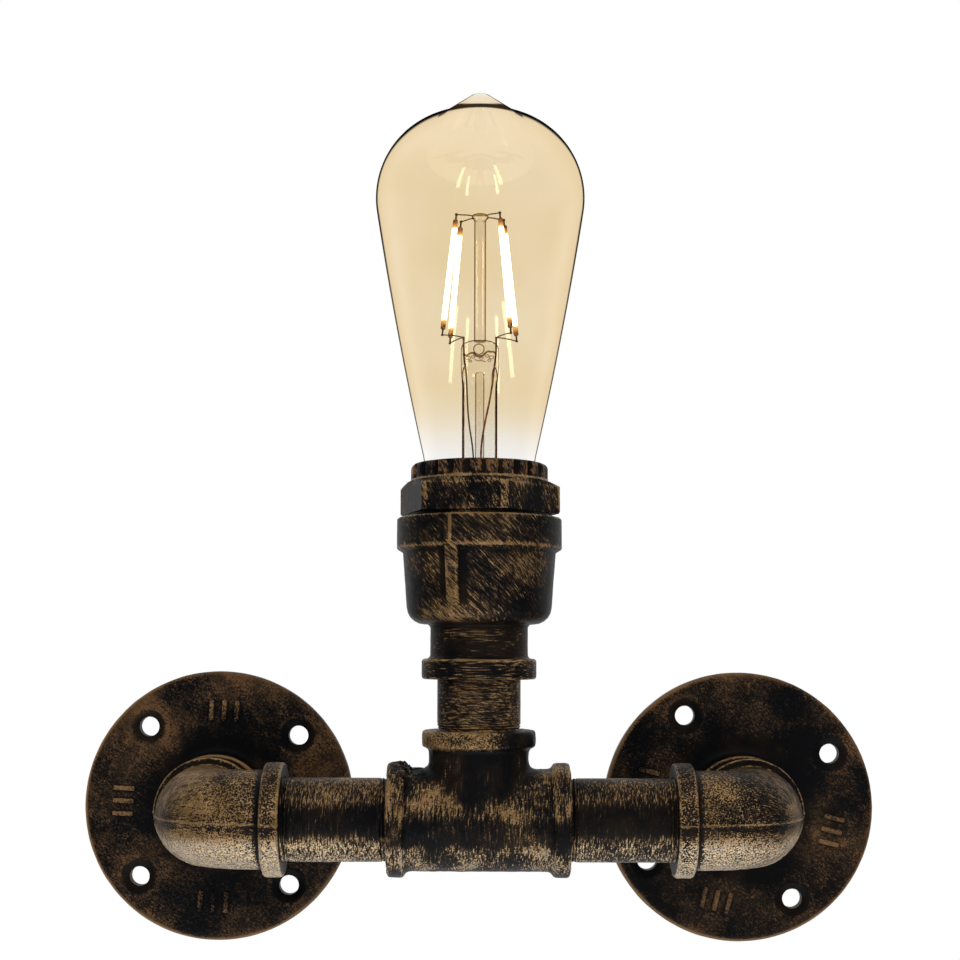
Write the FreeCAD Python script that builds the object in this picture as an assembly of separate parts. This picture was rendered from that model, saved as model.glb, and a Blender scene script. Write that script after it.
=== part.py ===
import FreeCAD, Part
import math
import os

# Pipe wall light. Millimetres, +X to the right, +Y into the wall, +Z up.
# The origin lies on the wall, midway between the two flange centres.

V = FreeCAD.Vector
X_AXIS = V(1, 0, 0)
Y_AXIS = V(0, 1, 0)
Z_AXIS = V(0, 0, 1)

# Flanges, each cast with a hub and screwed to the wall
flange_spacing = 172.0
plate_diameter = 89.0
plate_thickness = 5.0
plate_edge_round = 2.2
plate_back_chamfer = 0.6
hub_diameter = 35.0
hub_height = 14.0
hub_edge_round = 1.2
hub_foot_round = 3.0
hole_circle = 70.0
hole_diameter = 6.4
hole_count = 4
dish_diameter = 10.6
dish_depth = 1.3
left_hole_angle = 41.7
right_hole_angle = 30.4
left_mark_angle = 87.0
right_mark_angle = 166.0
mark_circle = 63.0
mark_height = 0.7
mark_length = 7.0
mark_width = 1.6
mark_pitch = 4.2
mark_root = 0.5
mark_places = 3
mark_bars = 3
mark_turn = 90

# Pipe and its threads
pipe_diameter = 25.4
pipe_bore = 20.0
thread_clearance = 0.05
thread_engagement = 12.0
relief_width = 1.6
relief_depth = 0.6
nipple_gap = 7.0
socket_end_gap = 0.5

# Elbows
elbow_reach = 27.0
elbow_diameter = 30.2
elbow_bend_radius = 16.0
elbow_bead_diameter = 34.8
elbow_bead_width = 5.8
seam_width = 1.2
seam_height = 0.4

# Tee
tee_half_length = 27.7
tee_height = 27.4
run_diameter = 31.2
branch_diameter = 30.5
tee_bead_diameter = 34.8
tee_bead_width = 5.4
saddle_round = 2.0
bead_edge_round = 1.0
bead_foot = 1.6

# Neck nipple and the cast housing that stands on it
neck_gap = 15.3
housing_bead_diameter = 35.0
housing_bead_width = 6.2
housing_neck_diameter = 29.8
housing_neck_length = 7.6
bowl_foot_round = 1.3
bowl_diameter = 43.6
bowl_corner_height = 5.4
bowl_top_diameter = 46.6
bowl_height = 24.4
band_diameter = 50.3
band_height = 9.2
band_step = 1.4
band_chamfer = 0.7
rib_angle = -110.0
rib_width = 4.5
rib_height = 1.8
rib_clear_of_foot = 7.5
rib_foot_rise = 0.6
rib_root = 1.0
seam_line_width = 1.4
seam_line_height = 0.45
floor_thickness = 5.0
floor_setback = 0.8
ledge_width = 1.9
chamber_height = 5.0

# Hexagonal clamp collar with its ribbed rim
collar_gap = 1.2
hexagon_flats = 43.5
hexagon_height = 9.5
hexagon_corner_angle = -72.3
hexagon_chamfer = 1.5
hexagon_chamfer_reach = 3.0
hexagon_foot_chamfer = 0.6
rim_diameter = 41.8
rim_height = 5.7
rim_groove_count = 25
rim_groove_width = 2.4
rim_groove_depth = 0.9
rim_edge_round = 1.6
rim_foot = 1.2
rim_overlap = 1.0
lip_diameter = 35.2
skirt_wall = 1.9
skirt_length = 7.5

# Ceramic lampholder, brass screw shell and contacts, Edison thread 27
seat_clearance = 0.3
holder_floor = 4.0
holder_chamfer = 0.8
holder_chamber_height = 7.0
holder_chamber_width = 12.0
holder_chamber_length = 27.0
thread_pitch = 3.629
cap_thread_diameter = 26.2
thread_depth = 1.05
thread_gap = 0.3
shell_wall = 0.5
shell_bottom_length = 1.5
shell_bottom_hole = 18.0
shell_top_gap = 1.6
contact_strip_width = 5.0
contact_strip_thickness = 0.5
contact_strip_rise = 2.0
contact_strip_foot = 3.6
contact_strip_top = 5.0
contact_touch_gap = 0.1
terminal_width = 6.0
terminal_height = 5.0
live_terminal_offset = 7.0
neutral_terminal_offset = 10.0
terminal_screw_diameter = 3.0
terminal_screw_head = 4.6
terminal_screw_head_height = 1.5
terminal_hole_height = 2.5
screw_slot_width = 0.8
screw_slot_depth = 0.7
rivet_diameter = 2.0
rivet_head_diameter = 3.0
rivet_head_height = 0.5
live_rivet_offset = 6.0
neutral_rivet_offset = 10.9

# Bracket, its screws, and the hollow threaded tube that holds it
entry_tube_diameter = 10.0
entry_tube_bore = 7.4
lock_nut_flats = 14.0
lock_nut_height = 3.0
bracket_thickness = 1.5
bracket_width = 12.0
bracket_ramp = 1.5
bracket_end_gap = 0.6
bracket_screw_spacing = 29.4
bracket_screw_to_end = 2.3
bracket_screw_to_ramp = 0.2
bracket_screw_diameter = 3.0
bracket_screw_head = 4.0
bracket_screw_head_height = 1.4
bracket_screw_length = 7.5
tube_past_nut = 0.6
tube_past_bracket = 0.6

# Earth terminal on the housing floor
earth_direction = 68.0
earth_reach = 10.6
earth_screw_diameter = 3.0
earth_screw_head = 5.0
earth_screw_head_height = 1.6
earth_screw_length = 4.1
tag_diameter = 5.4
tag_thickness = 0.6
tag_barrel_diameter = 2.8
tag_barrel_length = 1.85
tag_barrel_rise = 3.2
tag_web_width = 1.6

# Inner cable, split where it lies on a turning axis
cable_diameter = 6.2
cable_elbow_radius = 14.0
cable_tee_radius = 19.0
cable_split_gap = 0.1
cable_strip_depth = 20.0
cable_top_gap = 1.0
core_diameter = 1.8
core_clearance = 0.1
core_past_terminal = 0.5
core_short_of_tag = 0.25
core_circle = 4.0
core_tail_length = 8.0
core_bend_radius = 2.0
earth_core_bend_radius = 1.5
earth_core_lead_in = 1.0

# Bulb, a teardrop glass on an Edison cap
bulb_length = 143.5
bulb_diameter = 64.0
shoulder_radius = 25.8
crown_radius = 43.7
shoulder_height = 110.8
neck_top_height = 31.5
neck_top_diameter = 34.4
flank_angle = 9.2
flank_bulge = 0.66
nib_base_diameter = 26.4
nib_tip_radius = 6.8
glass_wall = 0.9
glass_neck_diameter = 22.6
glass_neck_depth = 8.0
glass_lip_width = 1.1
glass_lip_half_height = 0.4
glass_foot_setback = 1.6
glass_foot_rise = 2.2
cap_height = 25.6
cap_rim_height = 3.0
cap_rim_diameter = 26.6
cap_rim_rise = 1.0
cap_wall = 0.5
cap_cone_height = 2.6
cap_cone_diameter = 20.0
insulator_height = 5.4
insulator_end_diameter = 11.0
cap_seat_gap = 0.1
contact_tip_diameter = 9.6
contact_tip_height = 1.1
contact_tip_round = 1.0

# Inside the bulb
stem_diameter = 10.8
stem_wall = 0.8
stem_flare_height = 8.0
stem_flare_gap = 0.1
stem_flare_waist = 0.3
stem_top_height = 58.0
pinch_height = 9.0
pinch_width = 12.0
pinch_thickness = 4.4
pinch_corner_round = 1.7
exhaust_tube_diameter = 2.8
exhaust_tube_bore = 1.4
exhaust_tube_length = 30.0
exhaust_tube_gap = 0.1
centre_rod_diameter = 3.6
button_diameter = 5.2
button_height = 1.6
filament_diameter = 1.7
filament_low_radius = 12.2
filament_high_radius = 8.1
filament_above_pinch = 2.8
filament_length = 34.0
filament_half_angle = 32.0
filament_group_turn = -9.0
filament_pin_length = 1.7
wire_diameter = 0.6
wire_gap = 0.02
lead_top_spread = 3.6
lead_foot_spread = 2.2
lead_tail_height = 16.0
lead_post_inset = 1.0
lead_bend_radius = 3.0
lead_end_gap = 0.05
rim_lead_reach = 10.6
rim_lead_height = 14.0

# The middle of a quarter arc lies this share of its radius in from both ends
curve = 1 - math.sqrt(0.5)

# Places worked out from the sizes above
flange_x = flange_spacing / 2
axis_y = -(hub_height + nipple_gap + elbow_reach)
pipe_radius = pipe_diameter / 2
socket_radius = pipe_radius + thread_clearance
bore_radius = pipe_bore / 2
neck_end = thread_engagement + socket_end_gap
housing_z = tee_height + neck_gap
neck_z = housing_z + housing_bead_width + bead_foot
bowl_z = neck_z + housing_neck_length
band_z = bowl_z + bowl_height
band_top = band_z + band_height
collar_z = band_top + collar_gap
rim_z = collar_z + hexagon_height
rim_top = rim_z + rim_height
floor_bottom = housing_z + neck_end + floor_setback
floor_top = floor_bottom + floor_thickness
ledge_z = floor_top + chamber_height
bracket_end = bracket_screw_spacing / 2 + bracket_screw_to_end
bracket_ramp_foot = bracket_screw_spacing / 2 - bracket_screw_head / 2 - bracket_screw_to_ramp
chamber_radius = bracket_end + bracket_end_gap
cavity_radius = chamber_radius + ledge_width
skirt_radius = cavity_radius + skirt_wall
skirt_z = collar_z - skirt_length
holder_radius = cavity_radius - seat_clearance
holder_floor_z = ledge_z + holder_chamber_height
holder_top_floor = holder_floor_z + holder_floor
cap_radius = cap_thread_diameter / 2 - thread_depth / 2
shell_radius = cap_radius + thread_gap
shell_outer = shell_radius + thread_depth / 2 + shell_wall
tip_z = holder_top_floor + contact_strip_rise
bulb_top_of_cap = tip_z + cap_height
elbow_mouth_x = flange_x - elbow_reach
tube_top = floor_top + bracket_thickness + tube_past_bracket
cable_top = tube_top - cable_top_gap
filament_low_height = stem_top_height + pinch_height + filament_above_pinch
button_z = tip_z + filament_low_height + filament_length + filament_pin_length


def at(z):
    return tip_z + z


def turned(steps):
    """Solid of revolution about Z. A step is (r, z), or ((r, z), (r, z)) for an arc by its middle."""
    edges = []
    start = V(steps[0][0], 0, steps[0][1])
    here = start
    for step in steps[1:]:
        if isinstance(step[0], tuple):
            middle = V(step[0][0], 0, step[0][1])
            end = V(step[1][0], 0, step[1][1])
            edges.append(Part.Arc(here, middle, end).toShape())
        else:
            end = V(step[0], 0, step[1])
            edges.append(Part.LineSegment(here, end).toShape())
        here = end
    if here.distanceToPoint(start) > 1e-6:
        edges.append(Part.LineSegment(here, start).toShape())
    face = Part.Face(Part.Wire(edges))
    return face.revolve(V(0, 0, 0), Z_AXIS, 360)


def rod(diameter, z_low, z_high):
    return Part.makeCylinder(diameter / 2, z_high - z_low, V(0, 0, z_low))


def rod_between(diameter, start, end):
    direction = end.sub(start)
    return Part.makeCylinder(diameter / 2, direction.Length, start, direction)


def tube(outer, bore, z_low, z_high):
    return rod(outer, z_low, z_high).cut(rod(bore, z_low, z_high))


def block(size_x, size_y, size_z, centre_x, centre_y, z_low):
    return Part.makeBox(size_x, size_y, size_z, V(centre_x - size_x / 2, centre_y - size_y / 2, z_low))


def hexagon(across_flats, height, z_low, corner_angle):
    radius = across_flats / math.sqrt(3)
    corners = []
    for k in range(7):
        angle = math.radians(corner_angle + 60 * k)
        corners.append(V(radius * math.cos(angle), radius * math.sin(angle), z_low))
    return Part.Face(Part.makePolygon(corners)).extrude(V(0, 0, height))


def joined(shapes):
    result = shapes[0]
    if len(shapes) > 1:
        result = result.fuse(shapes[1:])
    return result.removeSplitter()


def turn(shape, angle, axis=Z_AXIS, centre=V(0, 0, 0)):
    copy = shape.copy()
    copy.rotate(centre, axis, angle)
    return copy


def move(shape, x=0.0, y=0.0, z=0.0):
    copy = shape.copy()
    copy.translate(V(x, y, z))
    return copy


def stand_on_wall(shape, x):
    """Lay a piece that was drawn upright so that its +Z points away from the wall."""
    return move(turn(shape, 90, X_AXIS), x)


def lay_along_x(shape, direction):
    """Lay a piece drawn upright so that its +Z points to +X or -X along the pipe axis."""
    return move(turn(shape, 90 * direction, Y_AXIS), 0, axis_y)


def lift_to_head(shape):
    """Pieces of the head are drawn about Z and stand over the pipe axis."""
    return move(shape, 0, axis_y)


def beaded_leg(body_diameter, bead_diameter, bead_width, length):
    """One leg of a fitting, drawn from its mouth at z = 0 up to the middle of the fitting."""
    body = body_diameter / 2
    bead = bead_diameter / 2
    edge = bead_edge_round
    foot = bead - edge - body
    return turned([
        (0, 0),
        (bead - edge, 0),
        ((bead - edge * curve, edge * curve), (bead, edge)),
        (bead, bead_width - edge),
        ((bead - edge * curve, bead_width - edge * curve), (bead - edge, bead_width)),
        ((body + foot * curve, bead_width + bead_foot * curve), (body, bead_width + bead_foot)),
        (body, length),
        (0, length),
    ])


def socket(depth):
    return rod(2 * socket_radius, 0, depth)


def make_flange(x, hole_angle, mark_angle):
    """Round wall plate with a hub, dished screw holes and three places of raised casting bars."""
    plate = plate_diameter / 2
    hub = hub_diameter / 2
    edge = plate_edge_round
    body = turned([
        (0, 0),
        (plate - plate_back_chamfer, 0),
        (plate, plate_back_chamfer),
        (plate, plate_thickness - edge),
        ((plate - edge * curve, plate_thickness - edge * curve), (plate - edge, plate_thickness)),
        (hub + hub_foot_round, plate_thickness),
        ((hub + hub_foot_round * curve, plate_thickness + hub_foot_round * curve),
         (hub, plate_thickness + hub_foot_round)),
        (hub, hub_height - hub_edge_round),
        ((hub - hub_edge_round * curve, hub_height - hub_edge_round * curve),
         (hub - hub_edge_round, hub_height)),
        (0, hub_height),
    ])
    marks = []
    for place in range(mark_places):
        for k in range(mark_bars):
            bar = block(mark_length, mark_width, mark_height + mark_root, 0, 0, plate_thickness - mark_root)
            bar = move(bar, mark_circle / 2, (k - (mark_bars - 1) / 2) * mark_pitch)
            marks.append(turn(bar, mark_angle + mark_turn * place))
    body = joined([body] + marks)
    cuts = [socket(hub_height)]
    for k in range(hole_count):
        hole = rod(hole_diameter, 0, plate_thickness)
        dish = Part.makeCone(hole_diameter / 2, dish_diameter / 2, dish_depth,
                             V(0, 0, plate_thickness - dish_depth))
        hole = joined([hole, dish])
        cuts.append(turn(move(hole, hole_circle / 2), hole_angle + 360 / hole_count * k))
    return stand_on_wall(body.cut(cuts), x)


def relieved_pipe(length, relief_starts):
    """A length of pipe with a narrow turned relief at each place where it leaves a fitting."""
    body = tube(pipe_diameter, pipe_bore, 0, length)
    relief_diameter = pipe_diameter - 2 * relief_depth
    grooves = []
    for start in relief_starts:
        grooves.append(tube(pipe_diameter + 1, relief_diameter, start, start + relief_width))
    return body.cut(grooves)


def make_rear_nipple(x):
    engaged = min(thread_engagement, hub_height - plate_thickness)
    length = engaged + nipple_gap + thread_engagement
    body = relieved_pipe(length, [engaged, engaged + nipple_gap - relief_width])
    return stand_on_wall(move(body, 0, 0, hub_height - engaged), x)


def make_elbow(side):
    """Drawn with its bend in the XY plane: one mouth to the wall, the other to the lamp's middle."""
    leg = beaded_leg(elbow_diameter, elbow_bead_diameter, elbow_bead_width, elbow_reach - elbow_bend_radius)
    rear = move(turn(leg, 90, X_AXIS), 0, elbow_reach)
    inner = move(turn(leg, -90, Y_AXIS), elbow_reach)
    corner = V(elbow_bend_radius, elbow_bend_radius, 0)
    start = V(elbow_bend_radius, 0, 0)

    def bend(radius):
        circle = Part.Circle(start, X_AXIS, radius)
        return Part.Face(Part.Wire(circle.toShape())).revolve(corner, Z_AXIS, -90)

    ridge = bend(elbow_diameter / 2 + seam_height)
    ridge = ridge.common(Part.makeBox(200, 200, seam_width, V(-100, -100, -seam_width / 2)))
    outer = joined([rear, inner, bend(elbow_diameter / 2), ridge])
    passage_length = elbow_reach - elbow_bend_radius
    passage = rod(pipe_bore, 0, passage_length)
    mouth = socket(thread_engagement + socket_end_gap)
    hollow = joined([
        move(turn(passage, 90, X_AXIS), 0, elbow_reach),
        move(turn(passage, -90, Y_AXIS), elbow_reach),
        bend(bore_radius),
        move(turn(mouth, 90, X_AXIS), 0, elbow_reach),
        move(turn(mouth, -90, Y_AXIS), elbow_reach),
    ])
    body = outer.cut(hollow)
    if side > 0:
        body = body.mirror(V(0, 0, 0), X_AXIS)
    return move(body, side * flange_x, axis_y)


def make_pipe(side):
    """From its seat in the tee out to its running seat in the elbow."""
    start = tee_half_length - thread_engagement
    length = elbow_mouth_x + thread_engagement - start
    body = relieved_pipe(length, [thread_engagement, elbow_mouth_x - start - relief_width])
    return lay_along_x(move(body, 0, 0, start), side)


def make_tee():
    """The saddle where the branch meets the run is rounded, as on a casting."""
    leg = beaded_leg(run_diameter, tee_bead_diameter, tee_bead_width, tee_half_length)
    right = turn(move(leg, 0, 0, -tee_half_length), -90, Y_AXIS)
    left = turn(move(leg, 0, 0, -tee_half_length), 90, Y_AXIS)
    branch = beaded_leg(branch_diameter, tee_bead_diameter, tee_bead_width, tee_height)
    branch = turn(move(branch, 0, 0, -tee_height), 180, X_AXIS)
    body = joined([right, left, branch])
    saddle = []
    for edge in body.Edges:
        box = edge.BoundBox
        on_saddle = box.ZMin > -0.1 and box.ZMax < branch_diameter / 2 + 1
        wide = box.YLength > branch_diameter / 2 - 1
        if on_saddle and wide and box.XLength > 1 and abs(box.Center.x) < run_diameter / 2:
            saddle.append(edge)
    body = body.makeFillet(saddle_round, saddle)
    mouth = socket(neck_end)
    cuts = [
        turn(rod(pipe_bore, -tee_half_length, tee_half_length), 90, Y_AXIS),
        rod(pipe_bore, 0, tee_height),
        turn(move(mouth, 0, 0, -tee_half_length), 90, Y_AXIS),
        turn(move(mouth, 0, 0, -tee_half_length), -90, Y_AXIS),
        move(mouth, 0, 0, tee_height - neck_end),
    ]
    return move(body.cut(cuts), 0, axis_y)


def make_neck_nipple():
    start = tee_height - thread_engagement
    length = neck_gap + 2 * thread_engagement
    body = relieved_pipe(length, [thread_engagement])
    return lift_to_head(move(body, 0, 0, start))


def make_housing():
    """Cup on a bead and a short neck, with a thick band round its top, two ribs and two seam lines."""
    bead = housing_bead_diameter / 2
    neck = housing_neck_diameter / 2
    foot = bowl_diameter / 2
    top = bowl_top_diameter / 2
    band = band_diameter / 2
    edge = bead_edge_round
    bead_top = housing_z + housing_bead_width
    shell_foot_z = bowl_z + bowl_foot_round
    corner = bowl_corner_height
    body = turned([
        (0, housing_z),
        (bead - edge, housing_z),
        ((bead - edge * curve, housing_z + edge * curve), (bead, housing_z + edge)),
        (bead, bead_top - edge),
        ((bead - edge * curve, bead_top - edge * curve), (bead - edge, bead_top)),
        ((neck + (bead - edge - neck) * curve, bead_top + bead_foot * curve), (neck, neck_z)),
        (neck, bowl_z),
        ((neck + bowl_foot_round * curve, shell_foot_z - bowl_foot_round * curve),
         (neck + bowl_foot_round, shell_foot_z)),
        (foot - corner, shell_foot_z),
        ((foot - corner * curve, shell_foot_z + corner * curve), (foot, shell_foot_z + corner)),
        (top, band_z - band_step),
        (band - band_chamfer, band_z),
        (band, band_z + band_chamfer),
        (band, band_top - band_chamfer),
        (band - band_chamfer, band_top),
        (0, band_top),
    ])
    rib_low = bowl_z + rib_clear_of_foot
    low_radius = foot + (rib_low - shell_foot_z - corner) * (top - foot) / (band_z - shell_foot_z - corner)
    rib_face = Part.Face(Part.makePolygon([
        V(low_radius - rib_root, 0, rib_low - rib_root),
        V(low_radius + rib_height, 0, rib_low + rib_foot_rise),
        V(top + rib_height, 0, band_z + band_chamfer),
        V(top - rib_root, 0, band_z + band_chamfer),
        V(low_radius - rib_root, 0, rib_low - rib_root),
    ]))
    rib = move(rib_face.extrude(V(0, rib_width, 0)), 0, -rib_width / 2)
    line = block(seam_line_height + rib_root, seam_line_width, band_height,
                 band + (seam_line_height - rib_root) / 2, 0, band_z)
    ribs = []
    for k in range(2):
        ribs.append(turn(rib, rib_angle + 180 * k))
        ribs.append(turn(line, rib_angle + 180 * k))
    body = joined([body] + ribs)
    cavity = turned([
        (0, floor_top),
        (chamber_radius, floor_top),
        (chamber_radius, ledge_z),
        (cavity_radius, ledge_z),
        (cavity_radius, skirt_z - seat_clearance),
        (skirt_radius + thread_clearance, skirt_z - seat_clearance),
        (skirt_radius + thread_clearance, band_top),
        (0, band_top),
    ])
    cuts = [
        cavity,
        rod(entry_tube_diameter + 2 * thread_clearance, floor_bottom, floor_top),
        rod(2 * socket_radius, housing_z, floor_bottom),
        turn(move(rod(earth_screw_diameter + 2 * thread_clearance,
                      floor_top + tag_thickness - earth_screw_length, floor_top), earth_reach),
             earth_direction),
    ]
    return lift_to_head(body.cut(cuts))


def make_hex_collar():
    """Hexagon with a grooved rim above it and a threaded skirt that goes down into the housing."""
    nut = hexagon(hexagon_flats, hexagon_height, collar_z, hexagon_corner_angle)
    corner = hexagon_flats / math.sqrt(3)
    trim = turned([
        (0, collar_z),
        (corner - hexagon_foot_chamfer, collar_z),
        (corner, collar_z + hexagon_foot_chamfer),
        (corner, rim_z - hexagon_chamfer),
        (corner - hexagon_chamfer_reach, rim_z),
        (0, rim_z),
    ])
    nut = nut.common(trim)
    rim = rim_diameter / 2
    edge = rim_edge_round
    ring = turned([
        (0, rim_z - rim_overlap),
        (rim + rim_foot, rim_z - rim_overlap),
        (rim + rim_foot, rim_z),
        ((rim + rim_foot * curve, rim_z + rim_foot * curve), (rim, rim_z + rim_foot)),
        (rim, rim_top - edge),
        ((rim - edge * curve, rim_top - edge * curve), (rim - edge, rim_top)),
        (0, rim_top),
    ])
    grooves = []
    for k in range(rim_groove_count):
        groove = rod(rim_groove_width, rim_z + rim_foot, rim_top)
        groove = move(groove, rim + rim_groove_width / 2 - rim_groove_depth)
        grooves.append(turn(groove, 360 / rim_groove_count * k))
    ring = ring.cut(grooves)
    skirt = rod(2 * skirt_radius, skirt_z, collar_z)
    body = joined([nut, ring, skirt])
    cuts = [
        rod(2 * (cavity_radius + thread_clearance), skirt_z, rim_z),
        rod(lip_diameter, rim_z, rim_top),
    ]
    return lift_to_head(body.cut(cuts))


def eased(z, low, high):
    """0 below low, 1 above high, and a smooth rise between."""
    share = min(max((z - low) / (high - low), 0.0), 1.0)
    return share * share * (3 - 2 * share)


def thread_skin(radius_at, z_low, z_high, thread_low, thread_high, rest):
    """One face, a round wall. Between the thread's ends its radius follows a wave that
    climbs one pitch a turn, right-handed. Past them it rests at the root (-1) or the crest (1)."""
    around = 24
    rows = int(math.ceil((z_high - z_low) / thread_pitch * 12))
    round_gain = 3 / (2 + math.cos(2 * math.pi / around))
    fade = thread_pitch / 2
    poles = []
    for j in range(rows + 1):
        z = z_low + (z_high - z_low) * j / rows
        height = eased(z, thread_low, thread_low + fade) - eased(z, thread_high - fade, thread_high)
        line = []
        for i in range(around):
            angle = 2 * math.pi * i / around
            wave = math.cos(2 * math.pi * (z - tip_z) / thread_pitch - angle)
            wave = height * wave + (1 - height) * rest
            reach = (radius_at(z) + thread_depth / 2 * wave) * round_gain
            line.append(V(reach * math.cos(angle), reach * math.sin(angle), z))
        poles.append(line)
    surface = Part.BSplineSurface()
    along = rows - 1
    surface.buildFromPolesMultsKnots(
        poles,
        [4] + [1] * (along - 2) + [4],
        [1] * (around + 1),
        list(range(along)),
        list(range(around + 1)),
        False,
        True,
        3,
        3,
    )
    return surface.toShape()


def skin_disc(skin, z):
    for edge in skin.Edges:
        if edge.isClosed() and abs(edge.Vertexes[0].Z - z) < 0.001:
            return Part.Face(Part.Wire(edge))


def sewn(faces):
    shell = Part.Shell(faces)
    shell.sewShape(0.001)
    solid = Part.Solid(shell)
    if solid.Volume < 0:
        solid.reverse()
    return solid


def make_porcelain_holder():
    body = turned([
        (0, ledge_z),
        (holder_radius - holder_chamfer, ledge_z),
        (holder_radius, ledge_z + holder_chamfer),
        (holder_radius, rim_z),
        (0, rim_z),
    ])
    cuts = [
        rod(2 * (shell_outer + seat_clearance), holder_top_floor, rim_z),
        block(holder_chamber_width, holder_chamber_length, holder_chamber_height, 0, 0, ledge_z),
    ]
    for offset in (-live_rivet_offset, neutral_rivet_offset):
        rivet_hole = rod(rivet_diameter + 2 * thread_clearance, holder_floor_z, holder_top_floor)
        cuts.append(move(rivet_hole, 0, offset))
    for side in (-1, 1):
        screw_hole = rod(bracket_screw_diameter + 2 * thread_clearance, ledge_z,
                         ledge_z - bracket_thickness + bracket_screw_length + thread_clearance)
        cuts.append(move(screw_hole, side * bracket_screw_spacing / 2))
    return lift_to_head(body.cut(cuts))


def make_screw_shell():
    """Rolled brass cup with a flat bottom that has a round hole for the centre contact."""
    low = holder_top_floor
    high = rim_z - shell_top_gap
    inside_low = low + shell_wall
    thread_low = low + shell_bottom_length
    inner = thread_skin(lambda z: shell_radius, inside_low, high, thread_low, high, 1)
    outer = thread_skin(lambda z: shell_radius + shell_wall, low, high, thread_low, high, 1)
    holes = [
        rod(shell_bottom_hole, low, inside_low),
        move(rod(rivet_diameter + 2 * thread_clearance, low, inside_low), 0, neutral_rivet_offset),
    ]
    side = []
    for hole in holes:
        side += [face for face in hole.Faces if face.BoundBox.ZLength > shell_wall / 2]
    flats = [
        skin_disc(outer, low).cut(holes).Faces[0],
        skin_disc(inner, inside_low).cut(holes).Faces[0],
        skin_disc(outer, high).cut(skin_disc(inner, high)).Faces[0],
    ]
    return lift_to_head(sewn([inner, outer] + side + flats))


def make_bulb_cap():
    """Thin rolled cap: a cone at its foot, the thread, and a plain rim that holds the glass."""
    low = at(insulator_height - cap_cone_height)
    high = bulb_top_of_cap
    cone_top = at(insulator_height)
    rim_low = high - cap_rim_height
    root = cap_radius - thread_depth / 2

    def outer_radius(z):
        narrow = (1 - eased(z, low - cap_cone_height, cone_top)) * (root - cap_cone_diameter / 2) * 2
        wide = eased(z, rim_low, rim_low + cap_rim_rise) * (cap_rim_diameter / 2 - root)
        return cap_radius - narrow + wide

    outer = thread_skin(outer_radius, low, high, cone_top, rim_low, -1)
    inner = thread_skin(lambda z: outer_radius(z) - cap_wall, low, high, cone_top, rim_low, -1)
    ends = []
    for z in (low, high):
        ends.append(skin_disc(outer, z).cut(skin_disc(inner, z)).Faces[0])
    return lift_to_head(sewn([inner, outer] + ends))


def make_rivet(offset, thickness):
    """Flat-headed rivet through the ceramic floor, down to its terminal."""
    head_low = holder_top_floor + thickness
    shank = rod(rivet_diameter, holder_floor_z, head_low)
    head = rod(rivet_head_diameter, head_low, head_low + rivet_head_height)
    return lift_to_head(move(joined([shank, head]), 0, offset))


def make_centre_contact():
    """Bent brass strip: riveted flat at one end, raised under the bulb's contact at the other."""
    low = holder_top_floor
    thick = contact_strip_thickness
    high = tip_z - contact_touch_gap
    foot = contact_strip_foot / 2
    top = contact_strip_top / 2
    profile = [
        V(0, -live_rivet_offset - foot, low),
        V(0, -live_rivet_offset + foot, low),
        V(0, -top, high - thick),
        V(0, top, high - thick),
        V(0, top, high),
        V(0, -top - thick / 2, high),
        V(0, -live_rivet_offset + foot - thick / 2, low + thick),
        V(0, -live_rivet_offset - foot, low + thick),
        V(0, -live_rivet_offset - foot, low),
    ]
    strip = Part.Face(Part.makePolygon(profile)).extrude(V(contact_strip_width, 0, 0))
    strip = move(strip, -contact_strip_width / 2)
    hole = rod(rivet_diameter + 2 * thread_clearance, low, low + thick)
    return lift_to_head(strip.cut(move(hole, 0, -live_rivet_offset)))


def make_terminal(centre):
    """Brass block with a cross hole for the core and a screw hole from below."""
    low = holder_floor_z - terminal_height
    body = block(terminal_width, terminal_width, terminal_height, 0, centre, low)
    hole_z = low + terminal_hole_height
    reach = terminal_width / 2
    inner = V(0, centre - reach, hole_z)
    outer = V(0, centre + reach, hole_z)
    screw_hole = move(rod(terminal_screw_diameter + 2 * thread_clearance, low, hole_z), 0, centre)
    core_hole = rod_between(core_diameter + 2 * core_clearance, inner, outer)
    return lift_to_head(body.cut([core_hole, screw_hole]))


def make_terminal_screws():
    low = holder_floor_z - terminal_height
    top = low + terminal_hole_height - core_diameter / 2 - 2 * core_clearance
    screws = []
    for centre in (-live_terminal_offset, neutral_terminal_offset):
        head = rod(terminal_screw_head, low - terminal_screw_head_height, low)
        slot = block(terminal_screw_head, screw_slot_width, screw_slot_depth, 0, 0,
                     low - terminal_screw_head_height)
        shank = rod(terminal_screw_diameter, low, top)
        screws.append(move(joined([head.cut(slot), shank]), 0, centre))
    return lift_to_head(Part.makeCompound(screws))


def make_entry_tube():
    low = floor_bottom - lock_nut_height - tube_past_nut
    return lift_to_head(tube(entry_tube_diameter, entry_tube_bore, low, tube_top))


def make_lock_nut():
    nut = hexagon(lock_nut_flats, lock_nut_height, floor_bottom - lock_nut_height, 0)
    hole = rod(entry_tube_diameter + 2 * thread_clearance, floor_bottom - lock_nut_height, floor_bottom)
    return lift_to_head(nut.cut(hole))


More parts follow.
